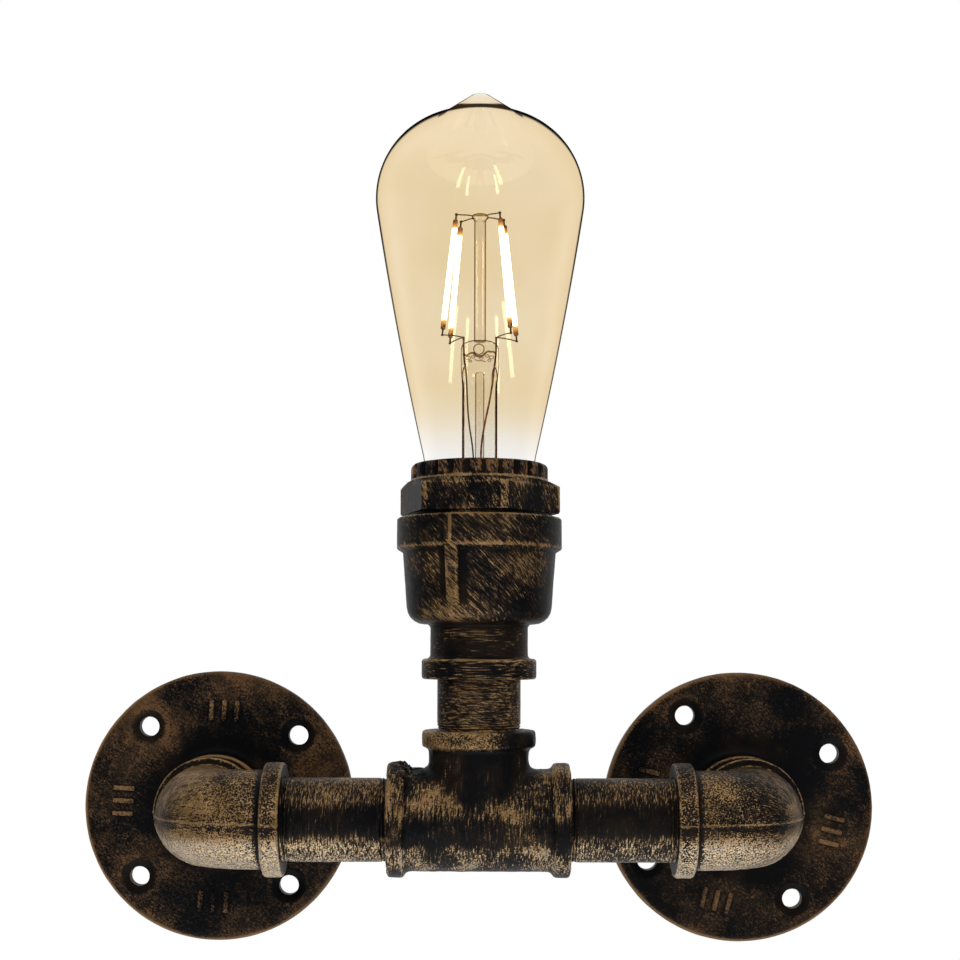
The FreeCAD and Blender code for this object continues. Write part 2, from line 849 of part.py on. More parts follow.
def make_bracket():
    """Joggled steel strap: low in the middle on the floor, raised at both ends under the ceramic."""
    thick = bracket_thickness
    high = ledge_z - thick
    ramp = bracket_ramp_foot
    middle = ramp - bracket_ramp
    end = bracket_end
    under = [(-end, high), (-ramp, high), (-middle, floor_top),
             (middle, floor_top), (ramp, high), (end, high)]
    points = [V(x, 0, z) for x, z in under]
    points += [V(x, 0, z + thick) for x, z in reversed(under)]
    points.append(points[0])
    strap = Part.Face(Part.makePolygon(points)).extrude(V(0, bracket_width, 0))
    strap = move(strap, 0, -bracket_width / 2)
    strap = strap.common(rod(2 * end, floor_top, ledge_z))
    cuts = [rod(entry_tube_diameter + 2 * thread_clearance, floor_top, floor_top + thick)]
    for side in (-1, 1):
        hole = rod(bracket_screw_diameter + 2 * thread_clearance, high, ledge_z)
        cuts.append(move(hole, side * bracket_screw_spacing / 2))
    return lift_to_head(strap.cut(cuts))


def make_bracket_screws():
    under = ledge_z - bracket_thickness
    screws = []
    for side in (-1, 1):
        shank = rod(bracket_screw_diameter, under, under + bracket_screw_length)
        head = rod(bracket_screw_head, under - bracket_screw_head_height, under)
        screws.append(move(joined([shank, head]), side * bracket_screw_spacing / 2))
    return lift_to_head(Part.makeCompound(screws))


def earth_place(shape):
    """Pieces of the earth terminal are drawn along +X and turned to their own direction."""
    return lift_to_head(turn(shape, earth_direction))


def make_earth_screw():
    low = floor_top + tag_thickness
    head = rod(earth_screw_head, low, low + earth_screw_head_height)
    slot = block(earth_screw_head, screw_slot_width, screw_slot_depth, 0, 0,
                 low + earth_screw_head_height - screw_slot_depth)
    shank = rod(earth_screw_diameter, low - earth_screw_length, low)
    return earth_place(move(joined([head.cut(slot), shank]), earth_reach))


def make_earth_tag():
    """Ring under the screw's head, with a raised barrel that grips the core."""
    ring = move(rod(tag_diameter, floor_top, floor_top + tag_thickness), earth_reach)
    barrel_end = earth_reach - earth_screw_head / 2 - thread_clearance
    barrel_z = floor_top + tag_barrel_rise
    start = V(barrel_end - tag_barrel_length, 0, barrel_z)
    barrel = rod_between(tag_barrel_diameter, start, V(barrel_end, 0, barrel_z))
    web_length = tag_barrel_length / 2
    web_height = tag_barrel_rise - core_diameter / 2 - core_clearance
    web = block(web_length, tag_web_width, web_height, barrel_end - web_length / 2, 0, floor_top)
    hole = rod(earth_screw_diameter + 2 * thread_clearance, floor_top, floor_top + tag_thickness)
    core_hole = rod_between(core_diameter + core_clearance, start, V(barrel_end, 0, barrel_z))
    return earth_place(joined([ring, barrel, web]).cut([move(hole, earth_reach), core_hole]))


def bent_rod(diameter, points, radius):
    """Round bar along straight runs that are joined by tangent arcs of one radius."""
    edges = []
    here = points[0]
    for k in range(1, len(points) - 1):
        back = points[k - 1].sub(points[k]).normalize()
        ahead = points[k + 1].sub(points[k]).normalize()
        half = back.getAngle(ahead) / 2
        reach = radius / math.tan(half)
        middle_line = back.add(ahead).normalize()
        enter = points[k].add(back * reach)
        leave = points[k].add(ahead * reach)
        middle = points[k].add(middle_line * (radius / math.sin(half) - radius))
        edges.append(Part.LineSegment(here, enter).toShape())
        edges.append(Part.Arc(enter, middle, leave).toShape())
        here = leave
    edges.append(Part.LineSegment(here, points[-1]).toShape())
    path = Part.Wire(edges)
    start_line = points[1].sub(points[0])
    circle = Part.Wire(Part.Circle(points[0], start_line, diameter / 2).toShape())
    return path.makePipeShell([circle], True, False)


def make_elbow_cable():
    corner = V(-flange_x, axis_y, 0)
    start = V(-flange_x, -cable_strip_depth, 0)
    end = V(-elbow_mouth_x - cable_split_gap / 2, axis_y, 0)
    return bent_rod(cable_diameter, [start, corner, end], cable_elbow_radius)


def make_arm_cable():
    start = V(-elbow_mouth_x + cable_split_gap / 2, axis_y, 0)
    end = V(0, axis_y, tee_height - cable_split_gap / 2)
    return bent_rod(cable_diameter, [start, V(0, axis_y, 0), end], cable_tee_radius)


def make_head_cable():
    return lift_to_head(rod(cable_diameter, tee_height + cable_split_gap / 2, cable_top))


def make_core_tail(k):
    """One core's cut end in the left hub, where the house supply is joined on."""
    angle = 90 + 120 * k
    core = rod(core_diameter, cable_strip_depth - core_tail_length, cable_strip_depth)
    return stand_on_wall(turn(move(core, core_circle / 2), angle), -flange_x)


def make_power_core(side, terminal_offset):
    """Live or neutral: up out of the cable and across into its terminal."""
    level = holder_floor_z - terminal_height + terminal_hole_height
    start = side * core_circle / 2
    end = side * (terminal_offset + core_past_terminal)
    points = [V(0, start, cable_top), V(0, start, level), V(0, end, level)]
    return lift_to_head(bent_rod(core_diameter, points, core_bend_radius))


def make_earth_core():
    core_end = earth_reach - earth_screw_head / 2 - core_short_of_tag
    barrel_z = floor_top + tag_barrel_rise
    top = ledge_z - core_diameter / 2 - core_clearance
    line = V(math.cos(math.radians(earth_direction)), math.sin(math.radians(earth_direction)), 0)
    start = V(core_circle / 2, 0, 0)
    points = [
        start.add(V(0, 0, cable_top)),
        start.add(V(0, 0, top)),
        (line * (core_end - tag_barrel_length - earth_core_lead_in)).add(V(0, 0, barrel_z)),
        (line * core_end).add(V(0, 0, barrel_z)),
    ]
    return lift_to_head(bent_rod(core_diameter, points, earth_core_bend_radius))


def glass_outline(inset):
    """Half outline of the glass from its neck up to the pip, as steps for turned()."""
    shoulder = shoulder_radius - inset
    crown = crown_radius - inset
    shoulder_x = bulb_diameter / 2 - shoulder_radius
    shoulder_z = at(shoulder_height)
    crown_z = shoulder_z - math.sqrt((crown_radius - shoulder_radius) ** 2 - shoulder_x ** 2)
    flank = math.radians(flank_angle)
    flank_x = shoulder_x + shoulder * math.cos(flank)
    flank_z = shoulder_z - shoulder * math.sin(flank)
    neck_x = neck_top_diameter / 2 - inset
    neck_top = at(neck_top_height)
    rim = bulb_top_of_cap
    waist = glass_neck_diameter / 2 - inset
    join = math.asin(shoulder_x / (crown_radius - shoulder_radius))
    nib_x = nib_base_diameter / 2
    nib_z = crown_z + math.sqrt(crown ** 2 - nib_x ** 2)
    tip = nib_tip_radius - inset / 2
    tip_centre = at(bulb_length) - inset - tip
    reach = math.hypot(nib_x, nib_z - tip_centre)
    slope = math.acos(tip / reach) - math.atan2(nib_z - tip_centre, nib_x)
    tip_angle = math.pi / 2 - slope
    return [
        (waist, rim - glass_neck_depth),
        (waist, rim - glass_lip_half_height + inset / 2),
        (waist + glass_lip_width, rim + glass_lip_half_height + inset / 2),
        ((neck_x - glass_foot_setback, rim + glass_foot_rise + inset / 3), (neck_x, neck_top)),
        (((neck_x + flank_x) / 2 + flank_bulge, (neck_top + flank_z) / 2), (flank_x, flank_z)),
        ((shoulder_x + shoulder * math.cos((math.pi / 2 - join - flank) / 2),
          shoulder_z + shoulder * math.sin((math.pi / 2 - join - flank) / 2)),
         (crown * math.sin(join), crown_z + crown * math.cos(join))),
        ((crown * math.sin((join + math.asin(nib_x / crown)) / 2),
          crown_z + crown * math.cos((join + math.asin(nib_x / crown)) / 2)),
         (nib_x, nib_z)),
        (tip * math.sin(tip_angle), tip_centre + tip * math.cos(tip_angle)),
        ((tip * math.sin(tip_angle / 2), tip_centre + tip * math.cos(tip_angle / 2)),
         (0, tip_centre + tip)),
    ]


def make_bulb_glass():
    floor = bulb_top_of_cap - glass_neck_depth
    outer = turned(glass_outline(0) + [(0, floor)])
    inner = turned(glass_outline(glass_wall) + [(0, floor)])
    return lift_to_head(outer.cut(inner))


def make_insulator():
    end = insulator_end_diameter / 2
    cone = cap_cone_diameter / 2
    seat = cone - cap_wall - cap_seat_gap
    cap_low = at(insulator_height - cap_cone_height)
    return lift_to_head(turned([
        (0, at(contact_tip_height)),
        (end, at(contact_tip_height)),
        (cone - cap_seat_gap, cap_low - cap_seat_gap),
        (seat, cap_low - cap_seat_gap / 2),
        (seat, at(insulator_height)),
        (0, at(insulator_height)),
    ]))


def make_contact_tip():
    tip = contact_tip_diameter / 2
    edge = contact_tip_round
    return lift_to_head(turned([
        (0, at(0)),
        (tip - edge, at(0)),
        ((tip - edge * curve, at(edge * curve)), (tip, at(edge))),
        (tip, at(contact_tip_height)),
        (0, at(contact_tip_height)),
    ]))


def make_stem():
    """Flared glass tube, pinched flat at its top round the lead wires."""
    foot = bulb_top_of_cap - glass_neck_depth
    flare = glass_neck_diameter / 2 - glass_wall - stem_flare_gap
    tube_radius = stem_diameter / 2
    flare_top = foot + stem_flare_height
    pinch_z = at(stem_top_height)
    middle = (tube_radius + (flare - tube_radius) * stem_flare_waist,
              foot + stem_flare_height * stem_flare_waist)
    outer = turned([(0, foot), (flare, foot), (middle, (tube_radius, flare_top)),
                    (tube_radius, pinch_z), (0, pinch_z)])
    wall = stem_wall
    hollow = turned([(0, foot), (flare - wall, foot),
                     ((middle[0] - wall, middle[1]), (tube_radius - wall, flare_top)),
                     (tube_radius - wall, pinch_z - wall), (0, pinch_z - wall)])
    pinch = block(pinch_width, pinch_thickness, pinch_height, 0, 0, pinch_z)
    uprights = [edge for edge in pinch.Edges if edge.BoundBox.ZLength > 1]
    pinch = pinch.makeFillet(pinch_corner_round, uprights)
    return lift_to_head(joined([outer.cut(hollow), pinch]))


def make_exhaust_tube():
    top = at(stem_top_height) - stem_wall - exhaust_tube_gap
    return lift_to_head(tube(exhaust_tube_diameter, exhaust_tube_bore, top - exhaust_tube_length, top))


def make_centre_rod():
    low = at(stem_top_height + pinch_height)
    button_low = button_z - button_height / 2
    body = rod(centre_rod_diameter, low, button_low)
    button = turned([
        (0, button_low),
        (centre_rod_diameter / 2, button_low),
        ((button_diameter / 2, button_low + button_height / 2),
         (centre_rod_diameter / 2, button_low + button_height)),
        (0, button_low + button_height),
    ])
    return lift_to_head(joined([body, button]))


def filament_ends(k):
    """Low and high end of one filament. They lean in at the top."""
    base = filament_half_angle if k in (1, 2) else -filament_half_angle
    angle = math.radians(base + (180 if k in (1, 3) else 0) + filament_group_turn)
    low = V(filament_low_radius * math.cos(angle), filament_low_radius * math.sin(angle),
            at(filament_low_height))
    high = V(filament_high_radius * math.cos(angle), filament_high_radius * math.sin(angle),
             at(filament_low_height + filament_length))
    return low, high


def make_filament(k):
    low, high = filament_ends(k)
    lean = high.sub(low).normalize()
    body = rod_between(filament_diameter, low, high)
    pin = lean * filament_pin_length
    pins = rod_between(wire_diameter, low.sub(pin), high.add(pin))
    return lift_to_head(joined([body, pins]))


def pin_tip(k, is_high):
    low, high = filament_ends(k)
    lean = high.sub(low).normalize()
    reach = filament_pin_length + wire_diameter / 2
    return high.add(lean * reach) if is_high else low.sub(lean * reach)


def make_upper_wires():
    """Four short wires from the glass button out to the tops of the filaments."""
    wires = []
    for k in range(4):
        tip = pin_tip(k, True)
        flat = V(tip.x, tip.y, 0).normalize()
        start = flat * (button_diameter / 2 + wire_gap)
        wires.append(rod_between(wire_diameter, V(start.x, start.y, button_z), tip))
    return lift_to_head(Part.makeCompound(wires))


def make_lead(side):
    """One lead: up inside the stem to the pinch, then out of the pinch to two filaments."""
    pinch_top = at(stem_top_height + pinch_height)
    pinch_low = at(stem_top_height) - stem_wall
    corner = side * (pinch_width / 2 - lead_post_inset)
    crossing = pin_tip(0, False).z
    if side < 0:
        tail = V(0, 0, at(insulator_height) + lead_end_gap)
    else:
        tail = V(rim_lead_reach, 0, at(rim_lead_height))
    inner = bent_rod(wire_diameter, [
        V(side * lead_top_spread, 0, pinch_low - lead_end_gap),
        V(side * lead_foot_spread, 0, at(lead_tail_height)),
        tail,
    ], lead_bend_radius)
    post = rod_between(wire_diameter, V(corner, 0, pinch_top), V(corner, 0, crossing + wire_diameter / 2))
    pieces = [post]
    for k in range(4):
        tip = pin_tip(k, False)
        if tip.x * side > 0:
            pieces.append(rod_between(wire_diameter, V(corner, 0, crossing), tip))
    return lift_to_head(Part.makeCompound([inner, joined(pieces)]))


def export_all():
    os.makedirs("parts", exist_ok=True)
    nodes = {
        "left_flange": make_flange(-flange_x, left_hole_angle, left_mark_angle),
        "right_flange": make_flange(flange_x, right_hole_angle, right_mark_angle),
        "left_rear_nipple": make_rear_nipple(-flange_x),
        "right_rear_nipple": make_rear_nipple(flange_x),
        "left_elbow": make_elbow(-1),
        "right_elbow": make_elbow(1),
        "elbow_cable": make_elbow_cable(),
        "tail_live": make_core_tail(0),
        "tail_neutral": make_core_tail(1),
        "tail_earth": make_core_tail(2),
        "left_pipe": make_pipe(-1),
        "right_pipe": make_pipe(1),
        "tee": make_tee(),
        "arm_cable": make_arm_cable(),
        "neck_nipple": make_neck_nipple(),
        "holder_housing": make_housing(),
        "hex_collar": make_hex_collar(),
        "entry_tube": make_entry_tube(),
        "lock_nut": make_lock_nut(),
        "holder_bracket": make_bracket(),
        "bracket_screws": make_bracket_screws(),
        "porcelain_holder": make_porcelain_holder(),
        "screw_shell": make_screw_shell(),
        "centre_contact": make_centre_contact(),
        "live_rivet": make_rivet(-live_rivet_offset, contact_strip_thickness),
        "neutral_rivet": make_rivet(neutral_rivet_offset, shell_wall),
        "live_terminal": make_terminal(-live_terminal_offset),
        "neutral_terminal": make_terminal(neutral_terminal_offset),
        "terminal_screws": make_terminal_screws(),
        "earth_screw": make_earth_screw(),
        "earth_tag": make_earth_tag(),
        "head_cable": make_head_cable(),
        "core_live": make_power_core(-1, live_terminal_offset),
        "core_neutral": make_power_core(1, neutral_terminal_offset),
        "core_earth": make_earth_core(),
        "bulb_contact_tip": make_contact_tip(),
        "bulb_insulator": make_insulator(),
        "bulb_cap": make_bulb_cap(),
        "bulb_glass": make_bulb_glass(),
        "bulb_stem": make_stem(),
        "bulb_exhaust_tube": make_exhaust_tube(),
        "bulb_centre_rod": make_centre_rod(),
        "bulb_upper_wires": make_upper_wires(),
        "bulb_left_lead": make_lead(-1),
        "bulb_right_lead": make_lead(1),
    }
    for k in range(4):
        nodes["filament_%d" % (k + 1)] = make_filament(k)
    for name, shape in nodes.items():
        shape.exportStep("parts/%s.step" % name)
        print(name, "valid" if shape.isValid() else "NOT VALID", len(shape.Solids), round(shape.Volume, 1))


export_all()
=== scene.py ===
import bpy
import bmesh
import math
import numpy as np
from mathutils import Euler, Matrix, Quaternion, Vector, noise


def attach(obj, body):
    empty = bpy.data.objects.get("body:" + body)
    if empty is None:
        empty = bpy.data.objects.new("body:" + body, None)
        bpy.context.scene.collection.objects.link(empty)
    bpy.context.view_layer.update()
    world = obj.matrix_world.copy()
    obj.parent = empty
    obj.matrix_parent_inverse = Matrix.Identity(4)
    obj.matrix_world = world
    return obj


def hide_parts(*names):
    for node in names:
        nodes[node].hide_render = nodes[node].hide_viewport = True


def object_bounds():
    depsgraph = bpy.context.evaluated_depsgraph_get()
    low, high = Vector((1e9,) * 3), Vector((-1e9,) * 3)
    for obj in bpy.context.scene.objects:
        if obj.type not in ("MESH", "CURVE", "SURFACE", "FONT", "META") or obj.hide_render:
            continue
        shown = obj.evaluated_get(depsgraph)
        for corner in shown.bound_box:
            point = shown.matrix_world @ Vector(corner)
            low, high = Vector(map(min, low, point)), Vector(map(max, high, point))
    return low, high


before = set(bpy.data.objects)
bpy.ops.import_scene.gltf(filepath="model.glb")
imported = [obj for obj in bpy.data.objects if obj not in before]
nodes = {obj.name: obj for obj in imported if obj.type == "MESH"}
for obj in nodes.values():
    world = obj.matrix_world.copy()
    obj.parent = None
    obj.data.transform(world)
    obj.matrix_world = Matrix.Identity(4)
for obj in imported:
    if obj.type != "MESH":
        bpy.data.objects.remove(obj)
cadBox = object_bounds()
mm = 0.001
axisY = -48.0        # the pipe axis stands this far in front of the wall, in mm
flangeX = 86.0       # and the flanges this far to each side
tipZ = 79.0          # the lowest point of the bulb
rightward, backward, upward, outward = (1, 0, 0), (0, 1, 0), (0, 0, 1), (0, -1, 0)
sideNames = {-1: "left", 1: "right"}
print("frame loaded,", len(nodes), "nodes")


def take(sizes, names):       # the named sizes, in that order
    return [sizes[name] for name in names.split()]


# Shader trees: a wrapped socket takes + - *, and paint.node makes any other node

class Tap:
    def __init__(self, paint, socket):
        self.paint = paint
        self.socket = socket

    def __add__(self, other):
        return self.paint.maths("ADD", self, other)

    def __sub__(self, other):
        return self.paint.maths("SUBTRACT", self, other)

    def __rsub__(self, other):
        return self.paint.maths("SUBTRACT", other, self)

    def __mul__(self, other):
        return self.paint.maths("MULTIPLY", self, other)

    __radd__ = __add__
    __rmul__ = __mul__


class Paint:
    def __init__(self, owner):
        owner.use_nodes = True
        self.owner = owner
        self.tree = owner.node_tree
        self.tree.nodes.clear()

    def node(self, kind, settings=None, inputs=None, out=0):
        made = self.tree.nodes.new(kind)
        for key, value in (settings or {}).items():
            setattr(made, key, value)
        for key, value in (inputs or {}).items():
            socket = made.inputs[key]
            if isinstance(value, Tap):
                self.tree.links.new(value.socket, socket)
            else:
                socket.default_value = (*value, 1) if socket.type == "RGBA" else value
        return Tap(self, made.outputs[out]) if len(made.outputs) else None

    def maths(self, operation, a, b):
        return self.node("ShaderNodeMath", {"operation": operation}, {0: a, 1: b})

    def rise(self, value, low, high):     # smooth step from low to high
        return self.node("ShaderNodeMapRange", {"interpolation_type": "SMOOTHSTEP"},
                         {0: value, 1: low, 2: high, 3: 0.0, 4: 1.0})

    def mixed(self, share, a, b):         # colours
        return self.node("ShaderNodeMix", {"data_type": "RGBA"}, {0: share, 6: a, 7: b}, 2)

    def grain(self, where, scale, detail=2.0, rough=0.55):
        return self.node("ShaderNodeTexNoise", {},
                         {"Vector": where, "Scale": scale, "Detail": detail, "Roughness": rough})

    def where(self):
        return self.node("ShaderNodeTexCoord", out="Object")

    def part(self, vector, axis):
        return self.node("ShaderNodeSeparateXYZ", {}, {0: vector}, axis)

    def multiplied(self, vector, scale):
        return self.node("ShaderNodeVectorMath", {"operation": "MULTIPLY"}, {0: vector, 1: scale})

    def stretched(self, where, turn, scale):     # turn in degrees in the skin's own plane
        turned = self.node("ShaderNodeVectorRotate", {"rotation_type": "Z_AXIS"},
                           {"Vector": where, "Angle": math.radians(turn)})
        return self.multiplied(turned, scale)

    def wrapped(self, where, axis):
        # across, up and out over a flat face or round an axis, with the seam at the back
        x, y, z = (self.part(where, k) for k in range(3))
        if axis == "face":
            across, up, out = x, z, y
        else:
            out = y * -1.0 + axisY * mm
            around = self.maths("ARCTAN2", x if axis == "z" else z, out) * 0.018
            across, up = (around, z) if axis == "z" else (x, around)
        return self.node("ShaderNodeCombineXYZ", {}, {0: across, 1: up, 2: out})

    def mark(self, name):
        return self.node("ShaderNodeAttribute", {"attribute_name": name}, out="Fac")

    def facing(self):
        return self.node("ShaderNodeLayerWeight", {}, {"Blend": 0.5}, 1)

    def ray(self, kind):
        return self.node("ShaderNodeLightPath", out="Is %s Ray" % kind)

    def bump(self, height, strength, distance):
        return self.node("ShaderNodeBump", {},
                         {"Strength": strength, "Distance": distance, "Height": height})

    def principled(self, colour, rough, more=None, bump=None):
        inputs = {"Base Color": colour, "Roughness": rough, **(more or {})}
        if bump:                          # height, strength and distance
            inputs["Normal"] = self.bump(*bump)
        return self.node("ShaderNodeBsdfPrincipled", {}, inputs)

    def clear(self, colour):
        return self.node("ShaderNodeBsdfTransparent", {}, {"Color": colour})

    def gloss(self, inputs):
        return self.node("ShaderNodeBsdfGlossy", {}, {"Color": (1, 1, 1), **inputs})

    def mixShader(self, share, a, b):
        return self.node("ShaderNodeMixShader", {}, {0: share, 1: a, 2: b})

    def surface(self, shader, kind="Material"):
        self.node("ShaderNodeOutput" + kind, {}, {"Surface": shader})
        return self.owner


def newFinish(name):
    return Paint(bpy.data.materials.new(name))


# The antique finish: near-black paint, with bronze rubbed on in strokes, most on the edges

castLooks = {
    "housing": {"wrap": "z", "turn": 50, "stroke": 270, "fine": 2900, "cover": 0.352, "patch": 0.55,
                "patchScale": 60, "wear": 0.13, "grain": 0.16, "soft": 0.09, "veil": 0.75, "metal": 0.4,
                "level": (59.3, 60.3)},
    "collar": {"wrap": "z", "turn": 66, "stroke": 420, "fine": 2300, "cover": 0.355, "patch": 0.70,
               "patchScale": 80, "wear": 0.13, "grain": 0.26, "soft": 0.10, "veil": 0.7, "metal": 0.4,
               "redAbove": (103.5, 104.0)},
    "neck": {"wrap": "z", "turn": 0, "stroke": 120, "fine": 2300, "cover": 0.405, "patch": 0.60,
             "patchScale": 60, "wear": 0.08, "grain": 0.16, "soft": 0.12, "veil": 0.8, "metal": 0.4},
    # in the looks below, the band and its darkening are a painted dark reflection of the room in front
    "tee": {"wrap": "x", "turn": 90, "stroke": 200, "fine": 2200, "cover": 0.430, "patch": 0.75,
            "patchScale": 70, "wear": 0.09, "grain": 0.30, "soft": 0.09, "veil": 0.6, "metal": 0.4,
            "speckled": (21.2, 22.2), "band": (-6.6, 0.6), "bandDarkReflection": 0.13, "under": (-5.5, -9.0),
            "underRubAndSheen": 0.0, "beige": 0.5},
    "elbow": {"wrap": "x", "turn": 0, "stroke": 500, "fine": 1900, "cover": 0.497, "patch": 0.45,
              "patchScale": 50, "wear": 0.03, "grain": 0.74, "soft": 0.055, "veil": 0.45, "metal": 0.35,
              "brushed": (76, 90), "band": (-3.6, 1.6), "bandDarkReflection": 0.06, "under": (-3.0, -8.5),
              "underRubAndSheen": 0.035, "beige": 1},
    "pipe": {"wrap": "x", "turn": 90, "stroke": 120, "fine": 2600, "cover": 0.425, "patch": 0.35,
             "patchScale": 60, "wear": 0.06, "grain": 0.14, "soft": 0.10, "veil": 0.7, "metal": 0.4,
             "band": (-3.6, 4.6), "bandDarkReflection": 0.15, "under": (-3.0, -7.5), "underRubAndSheen": 0.05, "beige": 1},
    "flange": {"wrap": "face", "turn": 35, "stroke": 800, "fine": 2300, "cover": 0.430, "patch": 0.80,
               "patchScale": 50, "wear": 0.14, "grain": 0.55, "soft": 0.15, "veil": 0.35, "metal": 0.1},
}
castColours = {
    "black": (0.0019, 0.0020, 0.0024),
    "brownBlack": (0.0060, 0.0040, 0.0026),
    "veil": (0.026, 0.016, 0.0085),
    "bronze": (0.115, 0.066, 0.026),
    "paleBronze": (0.235, 0.150, 0.070),
    "edgeBronze": (0.160, 0.092, 0.039),
    "redBronze": (0.145, 0.060, 0.026),
    "rimBrown": (0.105, 0.046, 0.021),
    # beige and silver for the lower sides: partly rubbed paint, partly a painted reflection of the pale
    # floor
    "beige": (0.58, 0.45, 0.285),
    "silver": (0.21, 0.195, 0.175),
    "brown": (0.030, 0.0165, 0.0078),
    "rust": (0.072, 0.036, 0.0145),
}


def castFinish(name, look):
    paint = newFinish(name)
    colours = castColours
    where = paint.where()
    height = paint.part(where, 2)
    wear, rub = paint.mark("wear"), paint.mark("rub")
    along = paint.wrapped(where, look["wrap"])
    stroke, fineness = look["stroke"], look["fine"]

    def drawn(turn, scale):
        return paint.grain(paint.stretched(along, turn, scale), 1.0, 1.5, 0.5)

    def past(key, value=height):     # rises between the two places the look gives, in mm
        start, end = look[key]
        return paint.rise(value, start * mm, end * mm)

    strokes = drawn(look["turn"], (stroke, fineness, 700)) * 0.62
    strokes = strokes + drawn(look["turn"] + 13, (stroke * 1.9, fineness * 1.4, 900)) * 0.38
    if "level" in look:        # the strokes lie level below this height
        level = drawn(0, (stroke * 0.5, fineness, 700))
        strokes = strokes + (level - strokes) * (1 - past("level"))
    strokes = (strokes - 0.5) * 1.35 + 0.5
    patches = paint.grain(where, look["patchScale"], 3.0, 0.6)
    fine = paint.grain(where, 2100.0, 1.5, 0.6)
    tone = paint.grain(where, 170.0, 2.0)
    specks = look["grain"]
    if "brushed" in look:      # out from the middle strokes take over from specks
        specks = (1 - past("brushed", paint.maths("ABSOLUTE", paint.part(where, 0), 0.0)) * 0.75) * specks
    if "speckled" in look:     # and above this height specks from strokes
        specks = past("speckled") * 0.55 + specks
    rubbed = strokes * (1 - specks) + fine * specks
    amount = (patches - 0.5) * look["patch"] + look["cover"] + wear * look["wear"] + rub
    if "band" in look:         # a painted dark reflection of the room in front, as a dark band along the front; more bronze under it, partly a painted reflection of the pale floor
        low, high = look["band"]
        band = paint.rise(height, (low - 1.2) * mm, (low + 1.2) * mm)
        band = band * (1 - paint.rise(height, (high - 1.5) * mm, (high + 2.5) * mm))
        under = past("under")
        amount = amount - band * look["bandDarkReflection"] + under * look["underRubAndSheen"]
    field = rubbed + amount
    cover = paint.rise(field, 0.97 - look["soft"] / 2, 0.97 + look["soft"])
    veil = paint.rise(field, 0.80, 0.98)
    if look["wrap"] == "face":
        bronze = paint.mixed(paint.rise(tone * 0.6 + fine * 0.4, 0.42, 0.62), colours["brown"],
                             colours["rust"])
        worn = paint.rise(wear + rub * 2.5, 0.35, 1.0)
        bronze = paint.mixed(worn * 0.75, bronze, colours["edgeBronze"])
    else:
        bronze = paint.mixed(paint.rise(fine * 0.5 + tone * 0.5, 0.42, 0.64), colours["bronze"],
                             colours["paleBronze"])
        bronze = paint.mixed(paint.rise(tone, 0.58, 0.70) * 0.6, bronze, colours["redBronze"])
    if "redAbove" in look:
        red = past("redAbove") * (paint.rise(tone, 0.42, 0.58) * 0.45 + 0.45)
        bronze = paint.mixed(red, bronze, colours["rimBrown"])
    # the beige and silver under the band: partly rubbed paint, partly a painted reflection of the pale floor
    if "band" in look:
        bronze = paint.mixed(under * paint.rise(fine, 0.40, 0.60) * look["beige"], bronze, colours["beige"])
        bronze = paint.mixed(under * paint.rise(strokes, 0.54, 0.42) * 0.8, bronze, colours["silver"])
    dark = paint.mixed(paint.rise(patches, 0.4, 0.65), colours["black"], colours["brownBlack"])
    dark = paint.mixed(veil * look["veil"], dark, colours["veil"])
    skin = paint.grain(where, 420.0, 3.0, 0.6)
    return paint.surface(paint.principled(
        paint.mixed(cover, dark, bronze), 0.44 + (fine - 0.5) * 0.25 - cover * 0.06,
        {"Metallic": cover * look["metal"], "Specular IOR Level": 0.09},
        (fine * 0.30 + skin * 0.8 + cover * 0.20, 0.5, 0.00016)))


finishes = {name: castFinish("cast_" + name, look) for name, look in castLooks.items()}
print("cast finishes made")


# Meshes: outlines in mm, turned or swept into rings

def threePointArc(start, middle, end, count):
    # points on the circle through three, after the first of them
    (ax, ay), (bx, by), (cx, cy) = start, middle, end
    a, b, c = (x * x + y * y for x, y in (start, middle, end))
    scale = 2 * (ax * (by - cy) + bx * (cy - ay) + cx * (ay - by))
    centreX = (a * (by - cy) + b * (cy - ay) + c * (ay - by)) / scale
    centreY = (a * (cx - bx) + b * (ax - cx) + c * (bx - ax)) / scale
    radius = math.hypot(ax - centreX, ay - centreY)
    first, mid, last = (math.atan2(y - centreY, x - centreX) for x, y in (start, middle, end))
    mid -= round((mid - first) / (2 * math.pi)) * 2 * math.pi
    last -= round((last - mid) / (2 * math.pi)) * 2 * math.pi
    turns = [first + (last - first) * k / count for k in range(1, count + 1)]
    return [(centreX + radius * math.cos(turn), centreY + radius * math.sin(turn)) for turn in turns]


def rounded(corners, step=1.0, arcStep=18.0):
    # corners are (along, radius, fillet) round a closed outline; straight runs get a point every step
    found = []
    for k, (along, radius, fillet) in enumerate(corners):
        here = np.array((along, radius), float)
        back, ahead = (np.array(corners[j % len(corners)][:2], float) - here for j in (k - 1, k + 1))
        back, ahead = back / np.linalg.norm(back), ahead / np.linalg.norm(ahead)
        half = math.acos(max(-1, min(1, float(back @ ahead)))) / 2
        if fillet <= 0 or abs(half - math.pi / 2) < 1e-3:
            found.append([tuple(here)])
            continue
        reach = fillet / math.tan(half)
        start, end = here + back * reach, here + ahead * reach
        inward = (back + ahead) / np.linalg.norm(back + ahead)
        middle = here + inward * (fillet / math.sin(half) - fillet)
        count = max(2, math.ceil(math.degrees(math.pi - 2 * half) / arcStep))
        found.append([tuple(start)] + threePointArc(start, middle, end, count))
    outline = []
    for piece, following in zip(found, found[1:] + found[:1]):
        outline += piece
        start, end = np.array(piece[-1]), np.array(following[0])
        count = int(np.linalg.norm(end - start) / step)
        outline += [tuple(start + (end - start) * i / count) for i in range(1, count)]
    return outline


